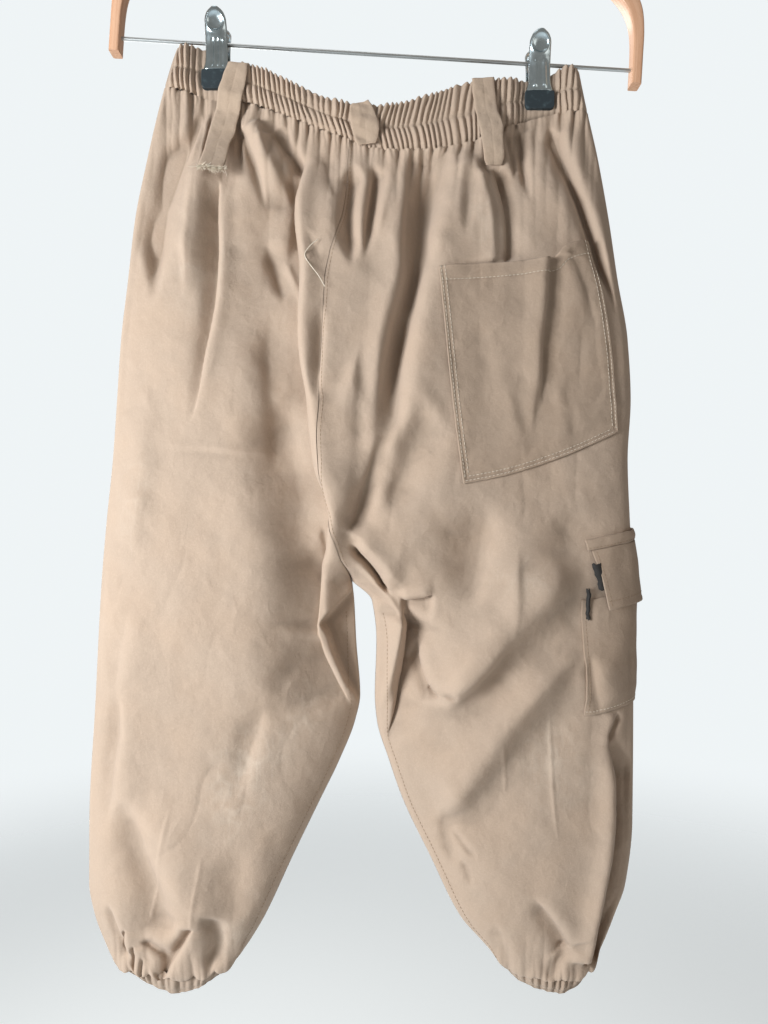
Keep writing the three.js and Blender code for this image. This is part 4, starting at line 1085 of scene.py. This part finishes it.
EASED, WOOD_HALF = 1.3, 6
section = corners(4)
wood_grid, wood_along = [], []
for cx, cy, q in section + section[:1]:
    across = cx * (sw / 2 - EASED) + EASED * math.cos(q)
    deep = np.full_like(sx, cy * (WOOD_HALF - EASED) + EASED * math.sin(q))
    wood_grid.append(hung(sx + tangent[:, 1] * across, deep, sz - tangent[:, 0] * across))
    wood_along.append(np.stack([fine, across, deep], -1))
wood_grid, wood_along = np.stack(wood_grid), np.stack(wood_along)
beech = Finish("beech")
grain_place = beech.add("Attribute", {"attribute_name": "along"}, {}, "Vector")
grain = beech.cloud(1, 5, beech.add("VectorMath", {"operation": "MULTIPLY"},
                                    {0: grain_place, 1: (0.012, 0.55, 0.55)}), 0.62)
flecks = beech.cloud(1, 2, beech.add("VectorMath", {"operation": "MULTIPLY"},
                                     {0: grain_place, 1: (0.35, 2.6, 2.6)}))
beech_colour = beech.blend(grain.between(0.32, 0.68), paint(226, 182, 150), paint(208, 158, 124))
beech_colour = beech.blend(flecks.between(0.6, 0.72) * 0.35, beech_colour, paint(178, 128, 98))
beech_finish = beech.surface(Base_Color=beech_colour, Roughness=0.38 + 0.12 * grain, Coat_Weight=0.2,
                             Coat_Roughness=0.25, Normal=beech.bump(grain + 0.5 * flecks, 0.12, 0.35))


def with_grain(piece, along):
    """each point's place along and across the wood, for its grain"""
    piece.data.attributes.new("along", "FLOAT_VECTOR", "POINT").data.foreach_set("vector", along.ravel())


arms = grid_piece("hanger_bow", wood_grid, beech_finish)
with_grain(arms, wood_along)
for name, row in (("tip_right", 0), ("tip_left", -1)):
    rim = wood_grid[:-1, row]
    cap = new_piece(f"hanger_{name}", rim, [list(range(len(rim)))], beech_finish)
    with_grain(cap, wood_along[:-1, row])
    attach(cap, "root")
stands_for(arms, "hanger_arms", "beech")

steel = Finish("steel")
drawn = steel.cloud(1, 3, steel.stretched((60, 900, 900)))
steel_finish = steel.surface(Base_Color=steel.blend(drawn, paint(176, 182, 184), paint(208, 213, 214)),
                             Metallic=1.0, Roughness=0.26 + 0.12 * drawn,
                             Normal=steel.bump(drawn, 0.05, 0.2))


def wire(name, run, radius, finish, sides=16):
    """a round wire along a line of points"""
    return grid_piece(name, round_bar(run, radius, sides, (0.02, 1, 0.03)), finish, loops=True)


HALF_SPAN, TIP_WIDTH, SOCKET = 200, 7.5, 3.5      # the bar ends this deep in the tips
HOOK_RADIUS, HOOK_CENTRE = 21.8, -20
reach = HALF_SPAN - TIP_WIDTH + SOCKET
bar = wire("hanger_bar_steel", hung(np.linspace(-reach, reach, 90), 0, 0), 1.4, steel_finish)
screwed = hung(0, 0, np.array([99.1, 111.1]))
turn = np.radians(np.linspace(-50, 180, 90))
arc = np.stack([np.cos(turn) * HOOK_RADIUS, 0 * turn, HOOK_CENTRE + np.sin(turn) * HOOK_RADIUS], -1)
shank = np.linspace(screwed[0], screwed[1], 12)
p0, p3 = shank[-1], arc[0]
p1, p2 = p0 + (shank[-1] - shank[-2]) * 4, p3 - (arc[1] - arc[0]) * 6
q = np.linspace(0, 1, 24)[1:-1, None]
joint = p0 * (1 - q) ** 3 + 3 * p1 * q * (1 - q) ** 2 + 3 * p2 * q * q * (1 - q) + p3 * q ** 3
hook = wire("hanger_hook_steel", eased(np.concatenate([shank, joint, arc]), 6), 1.8, steel_finish)
stands_for(bar, "hanger_bar", "steel")
stands_for(hook, "hanger_hook", "steel")


# ======== The two spring clips ========
# Each clip is two pressed and plated steel jaws with ribs and a dimpled thumb pad, closed by a coiled
# spring round the bar. A black rubber shoe on each jaw grips the waistband.
JAW = table("share half out", """
    0 3 12 | 0.03 4.6 11.8 | 0.08 6.4 11.2 | 0.19 8 9.6 | 0.4 8.2 6.8 | 0.6 8.2 5.2 | 0.84 8.6 5.2
    1 10.4 5""")
jaw_half, jaw_out = line(JAW["share"], JAW["half"]), line(JAW["share"], JAW["out"])
plate = Finish("clip_plate")
smear = plate.cloud(180, 3)
plate_finish = plate.surface(Base_Color=plate.blend(smear, paint(168, 186, 194), paint(206, 220, 226)),
                             Metallic=1.0, Roughness=0.16 + 0.14 * smear,
                             Normal=plate.bump(smear, 0.05, 0.15))
rubber = Finish("clip_rubber")
dust = rubber.cloud(240, 4)
dusty = rubber.blend(dust.between(0.5, 0.8), paint(34, 46, 52), paint(62, 78, 84))
rubber_finish = rubber.surface(Base_Color=dusty, Roughness=0.55 + 0.2 * dust,
                               Normal=rubber.bump(rubber.cloud(1300, 2), 0.1, 0.5))
CLIP_RIBS = {"left": ((-0.3, 0.12, 0.52), 0.09, -1.0), "right": ((-0.4, 0.4), 0.17, 1.3)}
SHOE_HALF = 11
COIL_RADIUS, COIL_TURNS, COIL_HALF = 5.5, 5.5, 3.9
for side, centre, top, pad_top, pad_bottom in zip(("left", "right"), *CLIPS.values()):
    height = top - pad_top - SEAM
    for half in ("back", "front"):
        sense = OUTWARD[half]
        share, s = np.linspace(0, 1, 64)[None, :], np.linspace(-1, 1, 33)[:, None]
        x = s * jaw_half(share)
        down = share * height
        # the thumb pad's dimple, then three grooves on the left clip or two ribs on the right one
        # (places across the jaw, width and height)
        far = np.hypot(x, down - 9.0) / 5.6
        dimple = -2.0 * np.exp(-far ** 4) + 0.6 * np.exp(-((far - 1.15) / 0.16) ** 2)
        spots, size, rise = CLIP_RIBS[side]
        ribs = sum(rise * np.exp(-((s - spot) / size) ** 2) for spot in spots)
        ribs = ribs * ramp(0.45, 0.52, share) * ramp(0.97, 0.90, share)
        lip = 1.0 * ramp(0.94, 1, np.abs(s)) * ramp(0.1, 0.3, share)
        out = jaw_out(share) + 1.8 * (1 - np.abs(s) ** 3) + 1 + dimple + ribs - lip
        grid = np.stack([centre + x, sense * out, top - down + 0 * x], -1)
        jaw = grid_piece(f"clip_{side}_{half}_jaw", grid, plate_finish, flip=half == "front", wall=0.8)
        stands_for(jaw, f"clip_{side}_jaw_{half}", "clip_chrome")
        # the rubber shoe: a slab with round corners and eased faces
        outline = []
        middle, tall = (pad_top + pad_bottom) / 2, (pad_top - pad_bottom) / 2
        for cx, cz, q in corners(7):
            radius = 1.4 if cz > 0 else 3.2
            outline.append((cx * (SHOE_HALF - radius) + radius * math.cos(q),
                            cz * (tall - radius) + radius * math.sin(q)))
        outline = np.array(outline)
        rings = []
        for y, inset in ((4.1, 0.5), (4.25, 0.15), (4.6, 0), (7.8, 0), (8.15, 0.15), (8.3, 0.5)):
            keep = 1 - inset / np.hypot(*outline.T)
            rings.append(np.stack([centre + outline[:, 0] * keep, np.full(len(outline), sense * y),
                                   middle + outline[:, 1] * keep], -1))
        count, last = len(outline), len(rings) - 1
        points = np.concatenate(rings + [rings[0], rings[-1]])
        faces = [(r + k, r + (k + 1) % count, r + count + (k + 1) % count, r + count + k)
                 for r in range(0, last * count, count) for k in range(count)]
        faces += [list(range((last + 1) * count, (last + 2) * count))[::-1],
                  list(range((last + 2) * count, (last + 3) * count))]
        if half == "back":
            faces = [face[::-1] for face in faces]
        shoe = new_piece(f"clip_{side}_{half}_shoe", points, faces, rubber_finish)
        stands_for(shoe, f"clip_{side}_pad_{half}", "clip_rubber")
    at = hung((centre - BAR_MIDDLE[0]) / math.cos(TILT), 0, 0)
    coil = np.linspace(0, 2 * math.pi * COIL_TURNS, 240)
    along = np.linspace(-COIL_HALF, COIL_HALF, 240)
    rise = COIL_RADIUS * np.sin(coil)
    run = at + np.stack([along * math.cos(TILT) + rise * math.sin(TILT), COIL_RADIUS * np.cos(coil),
                         -along * math.sin(TILT) + rise * math.cos(TILT)], -1)
    stands_for(wire(f"clip_{side}_coil", run, 0.62, steel_finish, 10), f"clip_{side}_spring", "clip_chrome")
